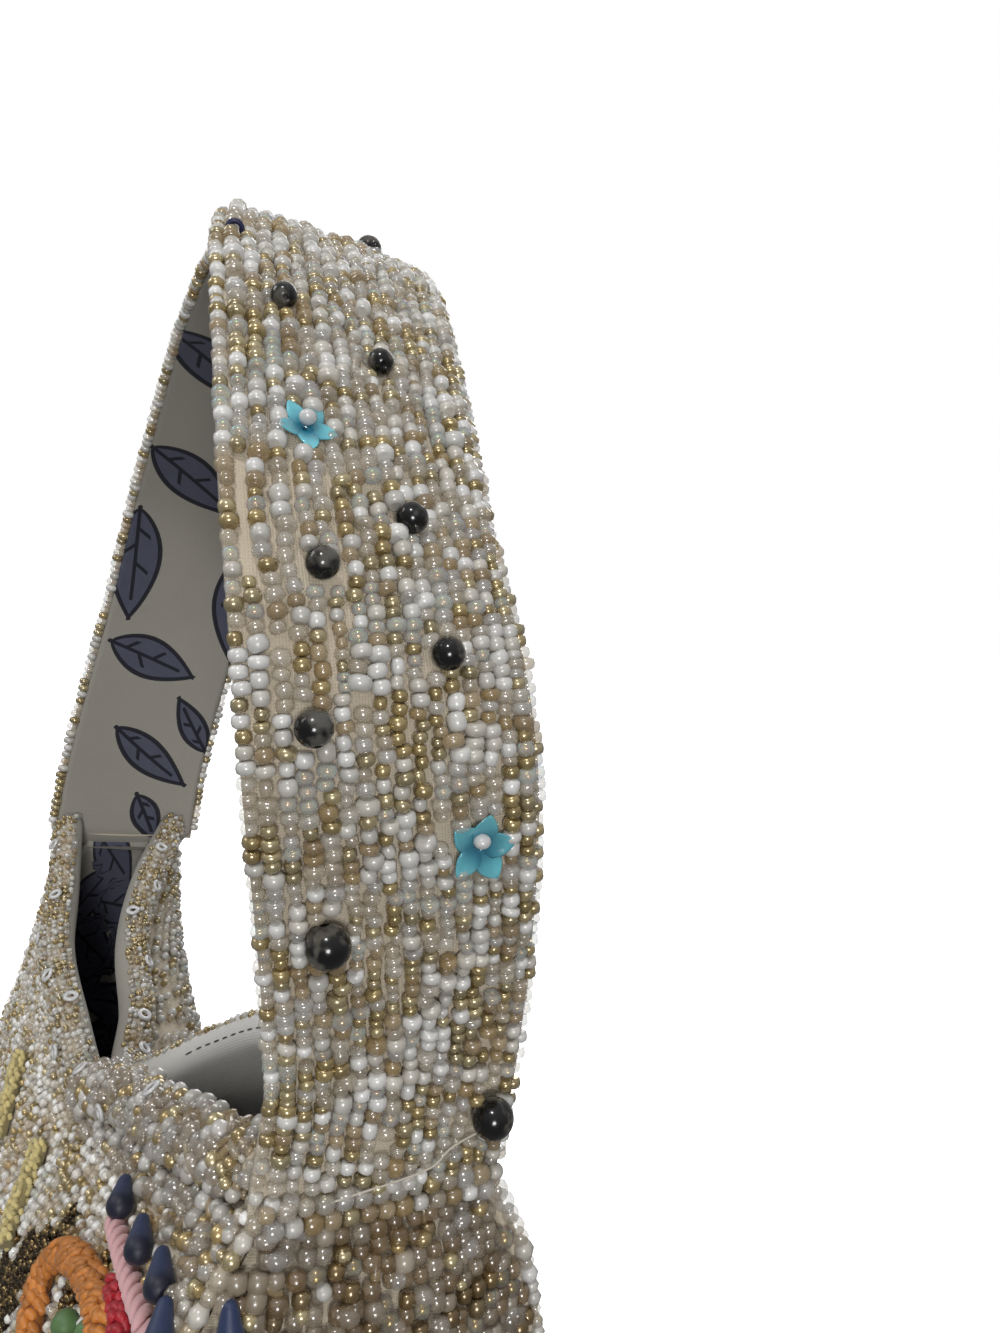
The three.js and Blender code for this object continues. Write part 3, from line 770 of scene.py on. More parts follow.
# Patches: a sum of a few slow waves, about one in size, so that like beads gather
def patches(u, v, size, waves=7):
    turn = draw.uniform(0, 2 * np.pi, (waves, 1))
    phase = draw.uniform(0, 2 * np.pi, (waves, 1))
    pace = 2 * np.pi / (size * draw.uniform(0.7, 1.6, (waves, 1)))
    reach = np.cos(pace * (np.cos(turn) * np.ravel(u) + np.sin(turn) * np.ravel(v)) + phase)
    return (reach.sum(0) * math.sqrt(2 / waves)).reshape(np.shape(u))


# Bead kinds: weight in the choice, radius and length with their spread, and the colours drawn from
beadKinds = dict(
    pearl=dict(weight=0.2, radius=1.38, length=2.15, spread=0.13,
               tints=[(0.61, 0.6, 0.57), (0.52, 0.5, 0.46), (0.67, 0.66, 0.64), (0.53, 0.5, 0.44)]),
    crystal=dict(weight=0.45, radius=1.32, length=1.85, spread=0.13,
                 tints=[(0.67, 0.63, 0.55), (0.65, 0.58, 0.47), (0.63, 0.61, 0.58), (0.57, 0.49, 0.37)]),
    rainbow=dict(weight=-0.6, radius=1.32, length=1.85, spread=0.1,
                 tints=[(0.68, 0.63, 0.6), (0.62, 0.56, 0.54), (0.66, 0.65, 0.62)]),
    gold=dict(weight=0.1, radius=1.24, length=1.8, spread=0.1,
              tints=[(0.5, 0.38, 0.17), (0.4, 0.3, 0.13), (0.58, 0.48, 0.27), (0.45, 0.37, 0.21)]),
    amber=dict(weight=-0.5, radius=1.32, length=1.95, spread=0.12,
               tints=[(0.42, 0.29, 0.12), (0.5, 0.38, 0.22), (0.38, 0.27, 0.14)]),
)
kindNames = list(beadKinds)


# Kind of each bead: the highest of its weight, its patch and a chance of its own
def pickKinds(u, v, size=16.0, clump=0.55, chance=0.75, weights=None):
    scores = []
    for name in kindNames:
        weight = (weights or {}).get(name, beadKinds[name]["weight"])
        own = -np.log(-np.log(draw.uniform(1e-6, 1 - 1e-6, np.shape(u))))
        scores.append(weight + clump * patches(u, v, size) + chance * own)
    return np.argmax(scores, 0)


def pickTints(name, count):
    tints = np.array(beadKinds[name]["tints"])[draw.integers(0, len(beadKinds[name]["tints"]), count)]
    return np.clip(tints * draw.uniform(0.9, 1.08, (count, 1)), 0, 0.95)


# One piece for each kind: the beads hold places, axes, hints, radii and lengths, and keep says which stay
def addKinds(name, kinds, keep, beads, profile, sides, order=kindNames, shade=1.0):
    for kind in order:
        chosen = keep & (kinds == kindNames.index(kind))
        places, axes, hints, radii, lengths = (values[chosen] for values in beads)
        tints = pickTints(kind, chosen.sum()) * shade
        piece = addBeads(f"{name}_{kind}_beads", places, axes, hints, radii, lengths, tints, profile, sides)
        dress(piece, kind, "beaded_cloth")


# Round beads on the strap, as in the solids: along, across and size, the far half turned about the crest
darkBeads = dict(
    rows=[(0.034, 16, 7), (0.112, -13, 6.7), (0.17, -13, 5.3), (0.191, 7.5, 4.9), (0.227, -10, 4.8),
          (0.252, 5, 4.9), (0.329, 4, 4.4), (0.348, -12, 4.4)],
    crest=(0.492, 9, 5.8), room=0.1, lean=0.4,
)
flowers = dict(petals=5, rows=[(0.127, 11, 12), (0.285, -10, 9.5)], room=-1.2)


def bothHalves(rows):
    rows = np.array(rows, float)
    return np.concatenate([rows, (np.array([1, 0, 0]) + rows * [-1, -1, 1])[::-1]])


darkRows = np.concatenate([bothHalves(darkBeads["rows"]), [darkBeads["crest"]]])
flowerRows = bothHalves(flowers["rows"])
darkRadii = darkRows[:, 2] / 2
darkPlaces = strapPoint(darkRows[:, 0], darkRows[:, 1], np.zeros(len(darkRows)))
flowerRadii = flowerRows[:, 2] / 2
flowerPlaces = strapPoint(flowerRows[:, 0], flowerRows[:, 1], np.zeros(len(flowerRows)))

# Strings: columns of beads set end to end, each bead as long as its kind, with runs of smaller ones
strings = dict(slot=1.2, pace=1.95, run=70.0, apart=9, small=-1.5, smaller=0.82, vary=0.05, size=1.03,
               stretch=0.1, gap=0.06, sway=0.2, swayRun=40.0, jitter=0.26)


def kindValues(field):
    return np.array([beadKinds[name][field] for name in kindNames])


def stringBeads(columns, length):
    slots = int(length / strings["slot"])
    slotU = np.broadcast_to(np.arange(slots) * strings["pace"], (len(columns), slots))
    slotV = np.broadcast_to(columns[:, None], slotU.shape)
    kinds = pickKinds(slotU, slotV)
    runs = patches(slotU, slotV * strings["apart"], strings["run"])
    runs = np.where(runs < strings["small"], strings["smaller"], 1 + strings["vary"] * runs)
    spread = kindValues("spread")[kinds] * draw.standard_normal(kinds.shape).clip(-2, 2)
    radii = strings["size"] * kindValues("radius")[kinds] * runs * (1 + spread)
    stretch = 1 + strings["stretch"] * draw.standard_normal(kinds.shape)
    lengths = kindValues("length")[kinds] * runs * stretch
    centres = np.cumsum(lengths + strings["gap"], 1) - lengths / 2
    wobble = strings["sway"] * patches(slotU, slotV, strings["swayRun"])
    wobble = wobble + strings["jitter"] * draw.standard_normal(kinds.shape)
    return kinds, radii, lengths, centres, slotV, wobble


# Strap seed beads: outer columns wander less, and the first ones draw aside to leave a short bare strip
strapColumns = dict(count=15, reach=19.3, fan=0.035, fanFrom=(0.28, 0.42), lost=0.012, split=0.5, end=1.2,
                    calmColumns=3, calmest=0.3, lean=0.19, rear=0.6)
bare = dict(start=0.224, end=0.27, blur=0.012, squeeze=1.4, columns=4)
columnPlaces = np.linspace(-strapColumns["reach"], strapColumns["reach"], strapColumns["count"])
kinds, radii, lengths, centres, across, wobble = stringBeads(columnPlaces, strapLength)
along = np.interp(centres, strapArc, strapSteps)
column = np.arange(strapColumns["count"])[:, None]
inBare = smooth(-bare["blur"], bare["blur"], along - bare["start"])
inBare = inBare * smooth(-bare["blur"], bare["blur"], bare["end"] - along)
inwards = np.minimum(column, strapColumns["count"] - 1 - column) / strapColumns["calmColumns"]
steady = np.clip(inwards, 0, 1) * (1 - strapColumns["calmest"]) + strapColumns["calmest"]
across = across + wobble * steady - bare["squeeze"] * inBare * np.clip(1.25 - column / bare["columns"], 0, 1)
across = across * (1 + strapColumns["fan"] * smooth(*strapColumns["fanFrom"], along))
places = strapPoint(along, across, radii - strap["clothDepth"])
_, tangent, wide, normal = strapFrame(along)
lean = draw.normal(0, strapColumns["lean"], kinds.shape + (2,))
axes = unit(tangent + lean[..., :1] * wide + lean[..., 1:] * strapColumns["rear"] * normal)
keep = centres < strapLength - strapColumns["end"]
keep &= draw.uniform(0, 1, kinds.shape) > strapColumns["lost"]
keep &= ~((inBare > 0.5) & (column == 0))
rooms = [(darkPlaces, darkRadii + darkBeads["room"]), (flowerPlaces, flowerRadii + flowers["room"])]
for spots, room in rooms:
    keep &= (np.linalg.norm(places[..., None, :] - spots, axis=-1) - room).min(-1) > 0
strapHalves = dict(
    near=dict(low=0.0, high=strapColumns["split"], profile=seedProfile, sides=9),
    far=dict(low=strapColumns["split"], high=1.1, profile=tinyProfile, sides=7),
)
beads = (places, axes, normal, radii, lengths)
for half, row in strapHalves.items():
    inHalf = keep & (along >= row["low"]) & (along < row["high"])
    addKinds(f"strap_{half}", kinds, inHalf, beads, row["profile"], row["sides"])

# Strap edges: one row of beads down each edge, over the edges of the cloth and its lining
edging = dict(along=[0.28, 0.42, 0.6], across=[21.5, 22.3, 22.2], level=[-0.9, -0.9, -3.2],
              radius=[1.3, 1.4, 1.55], pitch=2.05, gap=0.15, end=1.5,
              weights=dict(pearl=0.4, crystal=0.4, gold=0.3))
spots = np.arange(edging["end"], strapLength - edging["end"], edging["pitch"])
along = np.tile(np.interp(spots, strapArc, strapSteps), 2)
out, level, size = (np.interp(along, edging["along"], edging[k]) for k in ("across", "level", "radius"))
across = out * np.repeat([-1, 1], len(spots)) + draw.normal(0, 0.1, len(along))
_, tangent, _, normal = strapFrame(along)
places = strapPoint(along, across, level + draw.normal(0, 0.2, len(along)))
radii = size * draw.uniform(0.85, 1.15, len(along))
lengths = np.full(len(along), edging["pitch"] - edging["gap"])
kinds = pickKinds(np.tile(spots, 2), across, weights=edging["weights"])
addKinds("strap_edge", kinds, True, (places, tangent, normal, radii, lengths), seedProfile, 8)

# One navy ring bead strung with the outer column below the crest
navyRing = dict(along=np.array([0.398]), across=np.array([-19.6]), rise=np.array([0.8]),
                shape=dict(radius=1.25, tube=0.5, flat=1.0), tint=np.array([[0.012, 0.014, 0.06]]))
_, tangent, wide, _ = strapFrame(navyRing["along"])
place = strapPoint(navyRing["along"], navyRing["across"], navyRing["rise"])
piece = addHoops("navy_ring", place, tangent, wide, navyRing["shape"], 18, 8, navyRing["tint"])
dress(piece, "matte", "beaded_cloth")

# Sewing thread that crosses the strap near its joint, caught at both ends
thread = dict(along=[0.0325, 0.0225, 0.011, 0.002], across=[20.8, 9.5, 4.5, -10.5], radius=0.17, sides=6,
              steps=41, low=1.3, slack=1.1, middle=0.02, tint=np.array([[0.55, 0.5, 0.42]]))
at = np.linspace(0, 1, thread["steps"])
knots = np.linspace(0, 1, len(thread["along"]))
rise = thread["low"] + thread["slack"] * np.sin(np.pi * at)
path = strapPoint(glide(knots, thread["along"], at), glide(knots, thread["across"], at), rise)
hints = strapFrame(np.full(thread["steps"], thread["middle"]))[3]
piece = addTubes("joint_thread", path[None], hints[None], thread["radius"], thread["sides"], thread["tint"])
dress(piece, "thread", "beaded_cloth")
print("strap seed beads strung")

# Dark round beads: a drilled ball, its hole along the strap and open to the front below
ballTurns = np.linspace(-0.43, 0.43, 17) * np.pi
ballProfile = np.stack([np.sin(ballTurns) / 2, np.cos(ballTurns)], 1)
ballProfile = np.concatenate([[[-0.2, 0.12]], ballProfile, [[0.2, 0.12]]])
_, tangent, _, normal = strapFrame(darkRows[:, 0])
darkHeight = -strap["clothDepth"] + seamGap + darkRadii
places = strapPoint(darkRows[:, 0], darkRows[:, 1], darkHeight)
axes = unit(tangent - darkBeads["lean"] * normal)
piece = addBeads("dark_beads", places, axes, normal, darkRadii, 2 * darkRadii, None, ballProfile, 20)
dress(piece, "hematite", "dark_beads", *[f"dark_bead_{i + 1:02d}" for i in range(len(darkRows))])

# Flowers: five pointed petals, each a flat solid cupped up from the middle, and a pearl sewn in
petal = dict(sides=10, rings=10, halfWidth=0.37, halfThick=0.34, cup=0.3, lift=1.2, base=0.8,
             tint=np.array([0.16, 0.6, 0.7]), deep=np.array([0.015, 0.19, 0.3]))
pistil = dict(ahead=0.0025, rise=2.6, radius=1.35, length=2.2, tint=0.6, sides=14)
blooms = len(flowerRows)
_, tangent, wide, normal = strapFrame(flowerRows[:, 0])
spokes = np.arange(flowers["petals"]) / flowers["petals"] * 2 * np.pi
turn = spokes + draw.uniform(0, 1.2, (blooms, 1)) + draw.normal(0, 0.1, (blooms, flowers["petals"]))
turn = turn[..., None]
outwards = np.cos(turn) * wide[:, None] + np.sin(turn) * tangent[:, None]
aside = -np.sin(turn) * wide[:, None] + np.cos(turn) * tangent[:, None]
out = np.linspace(0.05, 1, petal["rings"])
slim = np.sin(np.pi * (0.06 + 0.93 * out**0.9)) ** 0.8
wind = 2 * np.pi * np.arange(petal["sides"]) / petal["sides"]
across = flowerRadii[:, None, None, None] * petal["halfWidth"] * slim[:, None] * np.cos(wind)
level = seamGap + petal["base"] + petal["lift"] * out[:, None] ** 1.6 + petal["cup"] * np.abs(across)
level = level + petal["halfThick"] * np.sin(wind) * slim[:, None] ** 0.5
seat = strapPoint(flowerRows[:, 0], flowerRows[:, 1], np.full(blooms, -strap["clothDepth"]))
reach = flowerRadii[:, None, None] * out * draw.uniform(0.9, 1.06, turn.shape)
rings = (seat[:, None, None, None] + reach[..., None, None] * outwards[:, :, None, None]
         + across[..., None] * aside[:, :, None, None] + level[..., None] * normal[:, None, None, None])
rings = rings.reshape((-1,) + rings.shape[2:])
# Each petal's tint runs darker towards the middle of the flower
deep = 1 - smooth(0.1, 0.8, out)[:, None]
flowerTint = petal["tint"] * (1 - deep) + petal["deep"] * deep
flowerTint = flowerTint * draw.uniform(0.8, 1.25, (len(rings), 1, 1))
piece = ringSolids("flower_petals", rings, flowerTint)
dress(piece, "petal", "flower_beads", *[f"flower_bead_{i + 1}" for i in range(blooms)])
height = np.full(blooms, pistil["rise"] - strap["clothDepth"])
places = strapPoint(flowerRows[:, 0] + pistil["ahead"], flowerRows[:, 1], height)
radii = np.full(blooms, pistil["radius"])
lengths = np.full(blooms, pistil["length"])
tints = np.full((blooms, 3), pistil["tint"])
piece = addBeads("flower_centres", places, tangent, normal, radii, lengths, tints, roundProfile,
                 pistil["sides"])
dress(piece, "pearl", "beaded_cloth")
print("round beads and flowers set")

# Crust on a surface: staggered rows with a little jitter, wider below the line, thinned where they crowd
crustRows = dict(line=0.55, low=0.03, high=0.985, cover=0.99, step=0.9, stagger=0.25, shiftU=0.22, shiftV=0.2,
                 spare=0.06, samples=41)


def crustPlaces(surface, pitch, wider):
    wider = pitch * wider
    fine = np.arange(crustRows["high"], crustRows["line"], -crustRows["step"] * pitch / wall["sideTop"])
    coarse = np.arange(crustRows["line"], crustRows["low"], -crustRows["step"] * wider / wall["sideTop"])
    samples, shiftU, shiftV = (crustRows[k] for k in ("samples", "shiftU", "shiftV"))
    us, vs, sizes = [], [], []
    for k, share in enumerate(np.concatenate([fine, coarse])):
        spacing = pitch if k < len(fine) else wider
        line = surface(np.linspace(-1, 1, samples), np.full(samples, share))
        count = int(np.linalg.norm(np.diff(line, axis=0), axis=1).sum() / spacing)
        u = -1 + (np.arange(count) + 0.5 + crustRows["stagger"] * (-1) ** k) * 2 / count
        us.append(u + draw.uniform(-shiftU, shiftU, count) * 2 / count)
        vs.append(np.full(count, share) + draw.uniform(-shiftV, shiftV, count) * spacing / wall["sideTop"])
        sizes.append(np.full(count, spacing))
    u = np.clip(np.concatenate(us), -crustRows["cover"], crustRows["cover"])
    v = np.clip(np.concatenate(vs), crustRows["low"], crustRows["high"])
    tall = surface(u, np.ones_like(u))[:, 2] / wall["sideTop"]
    stay = draw.uniform(0, 1, len(u)) < tall + crustRows["spare"]
    return u[stay], v[stay], np.concatenate(sizes)[stay]


# Frame on a surface: place, normal and a direction in the surface turned by an angle
def seatOn(surface, u, v, angle):
    normal = normalOf(surface, u, v)
    level = unit(np.cross(np.array([0, 0, 1.0]), normal))
    rising = np.cross(normal, level)
    return surface(u, v), normal, unit(np.cos(angle)[:, None] * level + np.sin(angle)[:, None] * rising)


# Embroidery on the front wall: paths of across and share, each a band that the crust leaves free
embroidery = dict(
    orangeArch=dict(room=2.6, path=[
        (0.585, 0.52), (0.585, 0.62), (0.57, 0.7), (0.542, 0.766), (0.495, 0.801), (0.488, 0.836),
        (0.542, 0.858), (0.66, 0.863), (0.765, 0.855), (0.823, 0.842), (0.85, 0.79), (0.86, 0.7),
        (0.86, 0.6), (0.855, 0.52)]),
    yellowBarOne=dict(room=2.9, path=[(-0.45, 0.84), (-0.402, 0.812), (-0.35, 0.779), (-0.3, 0.745)]),
    yellowBarTwo=dict(room=2.9, path=[
        (-0.037, 0.91), (0.03, 0.86), (0.07, 0.825), (0.107, 0.794), (0.14, 0.765)]),
    yellowBarThree=dict(room=2.9, path=[(0.2, 0.69), (0.24, 0.63), (0.29, 0.57), (0.33, 0.52)]),
    pinkRope=dict(room=1.9, path=[
        (0.62, 0.92), (0.643, 0.915), (0.755, 0.899), (0.845, 0.886), (0.925, 0.871), (0.945, 0.81),
        (0.945, 0.72), (0.945, 0.6)]),
    redSpray=dict(room=1.9, path=[
        (0.755, 0.88), (0.778, 0.875), (0.818, 0.866), (0.863, 0.852), (0.885, 0.81), (0.885, 0.75)]),
)


# Path on the front wall at even spacing: place, tangent, normal, side and distance run
def wallPath(points, spacing):
    points = np.array(points, float)
    steps = runOf(points * [100, 150])
    fine = glide(steps, points, np.linspace(0, steps[-1], 400))
    arc = runOf(frontWall(fine[:, 0], fine[:, 1]))
    at = np.arange(0, arc[-1], spacing)
    u = np.interp(at, arc, fine[:, 0])
    v = np.interp(at, arc, fine[:, 1])
    place = frontWall(u, v)
    normal = normalOf(frontWall, u, v)
    tangent = unit(np.gradient(place, axis=0))
    return place, tangent, normal, np.cross(normal, tangent), at


# Bead crust on the four walls: the near side's beads are larger, of warmer kinds and set upright like the
# strap's. Each row's shade scales its tints: on the front a painted light with brighter tints, on the near
# side a painted shade with darker, warmer tints
fineCrust = dict(wider=1.35, fill=0.385, turn=(0, 1), profile=tinyProfile,
                 weights=dict(pearl=0.4, crystal=0.4, gold=0.2, amber=-0.9))
warmCrust = dict(wider=1.2, fill=0.57, turn=(0.42, 0.58), profile=seedProfile,
                 weights=dict(pearl=-0.7, crystal=0.9, rainbow=-0.3, gold=-0.1, amber=0.9))
crust = dict(
    front=dict(surface=frontWall, pitch=2.5, sides=8, shade=(1.3, 1.3, 1.3), **fineCrust),
    back=dict(surface=backWall, pitch=3.1, sides=6, shade=(1.0, 1.0, 1.0), **fineCrust),
    far_side=dict(surface=farWall, pitch=2.9, sides=6, shade=(1.0, 1.0, 1.0), **fineCrust),
    near_side=dict(surface=nearWall, pitch=2.9, sides=8, shade=(0.48, 0.41, 0.33), **warmCrust),
)
embroidered = {k: wallPath(m["path"], 1.0)[0] for k, m in embroidery.items()}

# Drops: across, share and lean in degrees
dropRows = dict(
    front=np.array([(0.618, 0.941, 22), (0.781, 0.926, 22), (0.905, 0.918, 24), (0.988, 0.888, 42)]),
    side=np.array([(-0.887, 0.9, 55)]),
)
dropRoom = 1.9
dropPlaces = np.concatenate([frontWall(*dropRows["front"].T[:2]), nearWall(*dropRows["side"].T[:2])])

# Bronze fields: across, share and reach in millimetres
bronze = dict(
    pitch=1.25, radius=0.76, rise=0.5, us=(-0.1, 0.8), vs=(0.6, 0.93), unitU=100, unitV=140, jitter=0.4,
    fields=np.array([(0.15, 0.74, 6.5), (0.29, 0.766, 7.5), (0.25, 0.7, 8.0), (0.42, 0.868, 4.0),
                     (0.36, 0.81, 6.0), (0.66, 0.885, 2.6), (0.6, 0.83, 5.0), (0.7, 0.74, 9.0)]),
    tints=np.array([(0.09, 0.055, 0.022), (0.045, 0.028, 0.012), (0.34, 0.23, 0.09)]),
)
bronzeMiddles = frontWall(*bronze["fields"].T[:2])


# Room left on the walls: clear of the embroidery and of the drops
def clearOf(place, scale=1.0):
    stay = np.linalg.norm(place[:, None] - dropPlaces, axis=-1).min(1) > dropRoom * scale
    for key, motif in embroidery.items():
        stay &= np.linalg.norm(place[:, None] - embroidered[key], axis=-1).min(1) > motif["room"] * scale
    return stay


def inBronze(place):
    return (np.linalg.norm(place[:, None] - bronzeMiddles, axis=-1) < bronze["fields"][:, 2]).any(1)


for name, row in crust.items():
    u, v, spacing = crustPlaces(row["surface"], row["pitch"], row["wider"])
    place, normal, axis = seatOn(row["surface"], u, v, np.pi * draw.uniform(*row["turn"], len(u)))
    kinds = pickKinds(place[:, 0] + place[:, 1], place[:, 2], 22.0, weights=row["weights"])
    stay = clearOf(place) & ~inBronze(place)
    larger = np.where(kinds == kindNames.index("pearl"), 1.1, 1.0)
    radii = spacing * row["fill"] * larger * draw.uniform(0.84, 1.1, len(u))
    beads = (place + normal * (radii * 0.8)[:, None], axis, normal, radii, radii * 1.7)
    addKinds(name, kinds, stay, beads, row["profile"], row["sides"], shade=row["shade"])

# Beads of the bronze fields: the smallest ones, on a fine jittered lattice
fieldU, fieldV = np.meshgrid(np.arange(*bronze["us"], bronze["pitch"] / bronze["unitU"]),
                             np.arange(*bronze["vs"], bronze["pitch"] / bronze["unitV"]))
jitter = bronze["jitter"]
fieldU = fieldU.ravel() + draw.uniform(-jitter, jitter, fieldU.size) * bronze["pitch"] / bronze["unitU"]
fieldV = fieldV.ravel() + draw.uniform(-jitter, jitter, fieldV.size) * bronze["pitch"] / bronze["unitV"]
place, normal, axis = seatOn(frontWall, fieldU, fieldV, draw.uniform(0, np.pi, len(fieldU)))
chosen = inBronze(place) & clearOf(place, 0.75)
place, normal, axis = place[chosen], normal[chosen], axis[chosen]
radii = bronze["radius"] * draw.uniform(0.85, 1.2, len(place))
tints = bronze["tints"][draw.integers(0, len(bronze["tints"]), len(radii))]
piece = addBeads("bronze_field_beads", place + normal * bronze["rise"], axis, normal, radii, radii * 1.7,
                 tints, tinyProfile, 6)
dress(piece, "bronze", "beaded_cloth")
print("walls beaded")

# Seams: a line of beads over the cloth's edge at each corner, with a second row in the margin of one
seams = dict(
    front_near=dict(surface=frontWall, across=1.0, heavy=0.3, margin=True),
    back_near=dict(surface=backWall, across=-1.0, heavy=0.35, margin=False),
    front_far=dict(surface=frontWall, across=-1.0, heavy=0.0, margin=False),
    back_far=dict(surface=backWall, across=1.0, heavy=0.0, margin=False),
)
seamLine = dict(low=0.03, high=0.999, pitch=2.3, radius=1.25, inset=0.5, out=0.55, margin=0.02,
                upTo=dict(pearl=0.18, crystal=0.75, amber=0.9, gold=1.0))
seamKinds = np.array([kindNames.index(kind) for kind in seamLine["upTo"]])
for name, row in seams.items():
    share = np.arange(seamLine["low"], seamLine["high"], seamLine["pitch"] / wall["sideTop"])
    u = np.full_like(share, row["across"])
    edge = row["surface"](u, share)
    normal = normalOf(row["surface"], u, share)
    outwards = unit(edge - row["surface"](u * 0.99, share))
    rising = unit(np.gradient(edge, axis=0))
    place = edge - seamLine["inset"] * normal + seamLine["out"] * outwards
    heavy = smooth(0.78, 0.92, share) * row["heavy"]
    radii = seamLine["radius"] * (1 + heavy) * draw.uniform(0.85, 1.2, len(share))
    place = place + (normal + outwards) * heavy[:, None]
    if row["margin"]:
        beside = row["across"] * (1 - seamLine["margin"]) + 0 * share
        above = normalOf(row["surface"], beside, share)
        place = np.concatenate([place, row["surface"](beside, share) + above * seamLine["radius"] * 0.8])
        rising = np.tile(rising, (2, 1))
        outwards = np.concatenate([outwards, above])
        radii = np.concatenate([radii, seamLine["radius"] * draw.uniform(0.8, 1.15, len(share))])
    chance = draw.uniform(0, 1, len(radii))
    kinds = seamKinds[np.searchsorted(list(seamLine["upTo"].values()), chance, side="right")]
    addKinds(f"{name}_seam", kinds, clearOf(place, 0.8), (place, rising, outwards, radii, radii * 1.8),
             tinyProfile, 8, order=seamLine["upTo"])
print("seams beaded")

# Stones: larger beads heaped over the seeds round the near top corner, where the strap is sewn on
# Painted shade: the champagne and pearl stones have darker tints than the same kinds of bead elsewhere, for
# the shade round the near corner
stoneKinds = dict(
    champagne=dict(look="crystal", share=0.48, radius=(1.2, 2.1), shape=(1.3, 2.0), profile=roundProfile,
                   tints=[(0.45, 0.37, 0.28), (0.5, 0.44, 0.37), (0.4, 0.32, 0.23), (0.48, 0.45, 0.41)]),
    pearl=dict(look="pearl", share=0.16, radius=(1.2, 1.9), shape=(1.5, 1.9), profile=roundProfile,
               tints=[(0.46, 0.44, 0.4), (0.4, 0.38, 0.34), (0.52, 0.5, 0.47)]),
    gold=dict(look="gold", share=0.18, radius=(1.1, 1.7), shape=(1.5, 2.0), profile=roundProfile,
              tints=[(0.55, 0.4, 0.17), (0.45, 0.33, 0.15), (0.6, 0.5, 0.28)]),
    bugle=dict(look="amber", share=0.18, radius=(0.8, 1.0), shape=(4.5, 5.5), profile=seedProfile,
               tints=[(0.45, 0.33, 0.17), (0.52, 0.44, 0.31), (0.38, 0.27, 0.13)]),
)
stones = dict(
    wall=dict(us=(0.18, 0.99), vs=(0.5, 0.99), pitch=3.0),
    side=dict(us=(-0.98, 0.98), vs=(0.6, 0.99), pitch=5.0),
)
heaped = dict(row=0.88, jitter=0.3, cover=0.995, top=0.99, room=1.1)
dropLine = np.array([(0.18, 0.955), (0.45, 0.95), (0.618, 0.955), (0.781, 0.945),
                     (0.905, 0.935), (0.95, 0.9), (0.985, 0.6), (1.0, 0.5)])
golden = 0.618


# Lattice of places on a surface, spaced in millimetres by the surface's own size
def heapPlaces(surface, us, vs, pitch):
    size = surface(np.array([us[0], us[1], us[1]]), np.array([vs[1], vs[1], vs[0]]))
    stepU = (us[1] - us[0]) * pitch / np.linalg.norm(size[1] - size[0])
    stepV = (vs[1] - vs[0]) * pitch * heaped["row"] / np.linalg.norm(size[2] - size[1])
    jitter = heaped["jitter"]
    u, v = np.meshgrid(np.arange(*us, stepU), np.arange(*vs, stepV))
    u = u + (np.arange(len(u)) % 2 * stepU / 2)[:, None]
    u = (u + draw.uniform(-jitter, jitter, u.shape) * stepU).ravel()
    v = (v + draw.uniform(-jitter, jitter, v.shape) * stepV).ravel()
    return np.clip(u, -heaped["cover"], heaped["cover"]), np.clip(v, 0, heaped["top"])


heap = []
u, v = heapPlaces(frontWall, **stones["wall"])
seated = seatOn(frontWall, u, v, draw.uniform(0, np.pi, len(u)))
stay = (v > np.interp(u, dropLine[:, 0], dropLine[:, 1])) & clearOf(seated[0], heaped["room"])
heap.append([values[stay] for values in seated])
u, v = heapPlaces(nearWall, **stones["side"])
seated = seatOn(nearWall, u, v, draw.normal(0.5, 0.15, len(u)) * np.pi)
stay = clearOf(seated[0], heaped["room"]) & (draw.uniform(0, 1, len(u)) < (v - 0.5) * 5)
heap.append([values[stay] for values in seated])


# Skin of a roll: place, outward direction and a direction along the skin turned by an angle
def rollSkin(x, turn, sign, angle):
    middle, tangent, side, up = rimFrame(x, sign)
    cosine, sine = np.cos(turn)[:, None], np.sin(turn)[:, None]
    out = unit(cosine * side / roll["halfThick"] + sine * up / roll["halfHigh"])
    skin = middle + cosine * side * roll["halfThick"] + sine * up * roll["halfHigh"]
    axis = np.cos(angle)[:, None] * tangent + np.sin(angle)[:, None] * np.cross(out, tangent)
    return skin, out, unit(axis)


# Stones over the front roll's near half, spread evenly along it and round it
rimStones = dict(count=240, xs=(2.0, 95.0), turns=(-0.3, 0.5))
number = np.arange(rimStones["count"])
low, high = rimStones["xs"]
x = low + (high - low) * (number + 0.5) / rimStones["count"]
low, high = rimStones["turns"]
turn = np.pi * (low + (high - low) * (number * golden % 1))
heap.append(list(rollSkin(x, turn, -1, draw.uniform(0, np.pi, len(x)))))
place, normal, axis = (np.concatenate(parts) for parts in zip(*heap))
chance = draw.uniform(0, 1, len(place))
floorShare = 0.0
for kind, row in stoneKinds.items():
    chosen = (chance >= floorShare) & (chance < floorShare + row["share"])
    floorShare += row["share"]
    count = int(chosen.sum())
    radii = draw.uniform(*row["radius"], count)
    lengths = radii * draw.uniform(*row["shape"], count)
    tints = np.array(row["tints"])[draw.integers(0, len(row["tints"]), count)]
    tints = tints * draw.uniform(0.88, 1.1, (count, 1))
    lifted = place[chosen] + normal[chosen] * (0.9 + radii * 0.55)[:, None]
    piece = addBeads(f"{kind}_stones", lifted, axis[chosen], normal[chosen], radii, lengths, tints,
                     row["profile"], 10)
    dress(piece, row["look"], "beaded_cloth")

